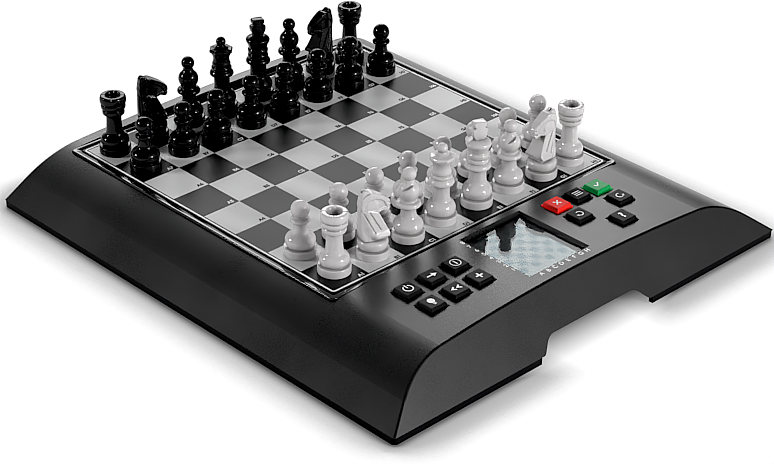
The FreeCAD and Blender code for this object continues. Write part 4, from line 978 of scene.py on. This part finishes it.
gen = wn("ShaderNodeTexCoord").outputs["Generated"]
wsep = wn("ShaderNodeSeparateXYZ")
wt.links.new(gen, wsep.inputs[0])
up = wsep.outputs[2]
az = wmath("MULTIPLY", wmath("ARCTAN2", wsep.outputs[1], wsep.outputs[0]), 180.0 / math.pi)


def glow(direction, spread):
    """Soft patch of light round a direction, spread in degrees."""
    k = 1.0 / (1.0 - math.cos(math.radians(spread)))
    return wmath("POWER", 2.718282, wmath("MULTIPLY", wmath("SUBTRACT", wdot(direction), 1.0), k))


# dim room, a bright band on the wall behind the object about thirty degrees up, a soft panel at each side
band = wmath("MULTIPLY", wstep(up, 0.640, 0.524), wmath("MULTIPLY_ADD", wstep(up, 0.32, 0.43), 0.80, 0.20))
wall = wmath("MULTIPLY", band, wmath("MULTIPLY", wstep(az, 29.5, 38.5), wstep(az, 105.0, 65.0)))
room = wmath("MULTIPLY_ADD", wstep(up, 0.55, 0.0), 0.14, 0.08)
total = wmath("MULTIPLY_ADD", wall, 5.8, room)
LEFT, RIGHT = Vector((-0.71, 0.57, 0.41)).normalized(), Vector((0.22, -0.91, 0.36)).normalized()
FRONT = Vector((0.522, -0.678, 0.518)).normalized()
for d, spread, level in ((LEFT, 10.0, 0.95), (RIGHT, 20.0, 2.2), (FRONT, 8.0, 0.6)):
    total = wmath("MULTIPLY_ADD", glow(d, spread), level, total)
bg = wn("ShaderNodeBackground")
wt.links.new(total, bg.inputs["Strength"])
bg.inputs["Color"].default_value = (1.0, 1.0, 1.0, 1.0)
wo = wn("ShaderNodeOutputWorld")
wt.links.new(bg.outputs[0], wo.inputs["Surface"])
for name, d, level in (("lamp_left", LEFT, 46.0), ("lamp_right", RIGHT, 60.0)):
    la = bpy.data.lights.new(name, "AREA")
    la.shape, la.size = "DISK", 2 * 2.6 * math.tan(math.radians(6.0))
    # a disk of radius r radiates power / (pi * pi * r * r)
    la.energy = level * math.pi ** 2 * (la.size / 2) ** 2
    lo = bpy.data.objects.new(name, la)
    scene.collection.objects.link(lo)
    lo.location = d * 2.6 + Vector((0, 0.02, 0.03))
    lo.rotation_euler = d.to_track_quat("Z", "Y").to_euler()
scene.view_settings.view_transform = "Standard"
scene.view_settings.look = "None"
scene.view_settings.exposure = 0.0
scene.view_settings.use_curve_mapping = True
scene.view_settings.curve_mapping.black_level = (0.008, 0.008, 0.008)
scene.view_settings.curve_mapping.update()
# a little edge sharpening, as a camera does it
scene.use_nodes = True
ct = scene.node_tree
ct.nodes.clear()
last = ct.nodes.new("CompositorNodeRLayers").outputs["Image"]
for kind, props, values in (("CompositorNodeMixRGB", {"blend_type": "MULTIPLY", "use_clamp": True}, {0: 1.0, 2: (1.0, 1.0, 1.0, 1.0)}),
                            ("CompositorNodeGamma", {}, {1: 1.0 / 2.2}),
                            ("CompositorNodeFilter", {"filter_type": "SHARPEN"}, {0: 0.13}),
                            ("CompositorNodeGamma", {}, {1: 2.2})):
    n = ct.nodes.new(kind)
    for k, v in props.items():
        setattr(n, k, v)
    for k, v in values.items():
        n.inputs[k].default_value = v
    ct.links.new(last, n.inputs["Image"])
    last = n.outputs["Image"]
ct.links.new(last, ct.nodes.new("CompositorNodeComposite").inputs["Image"])
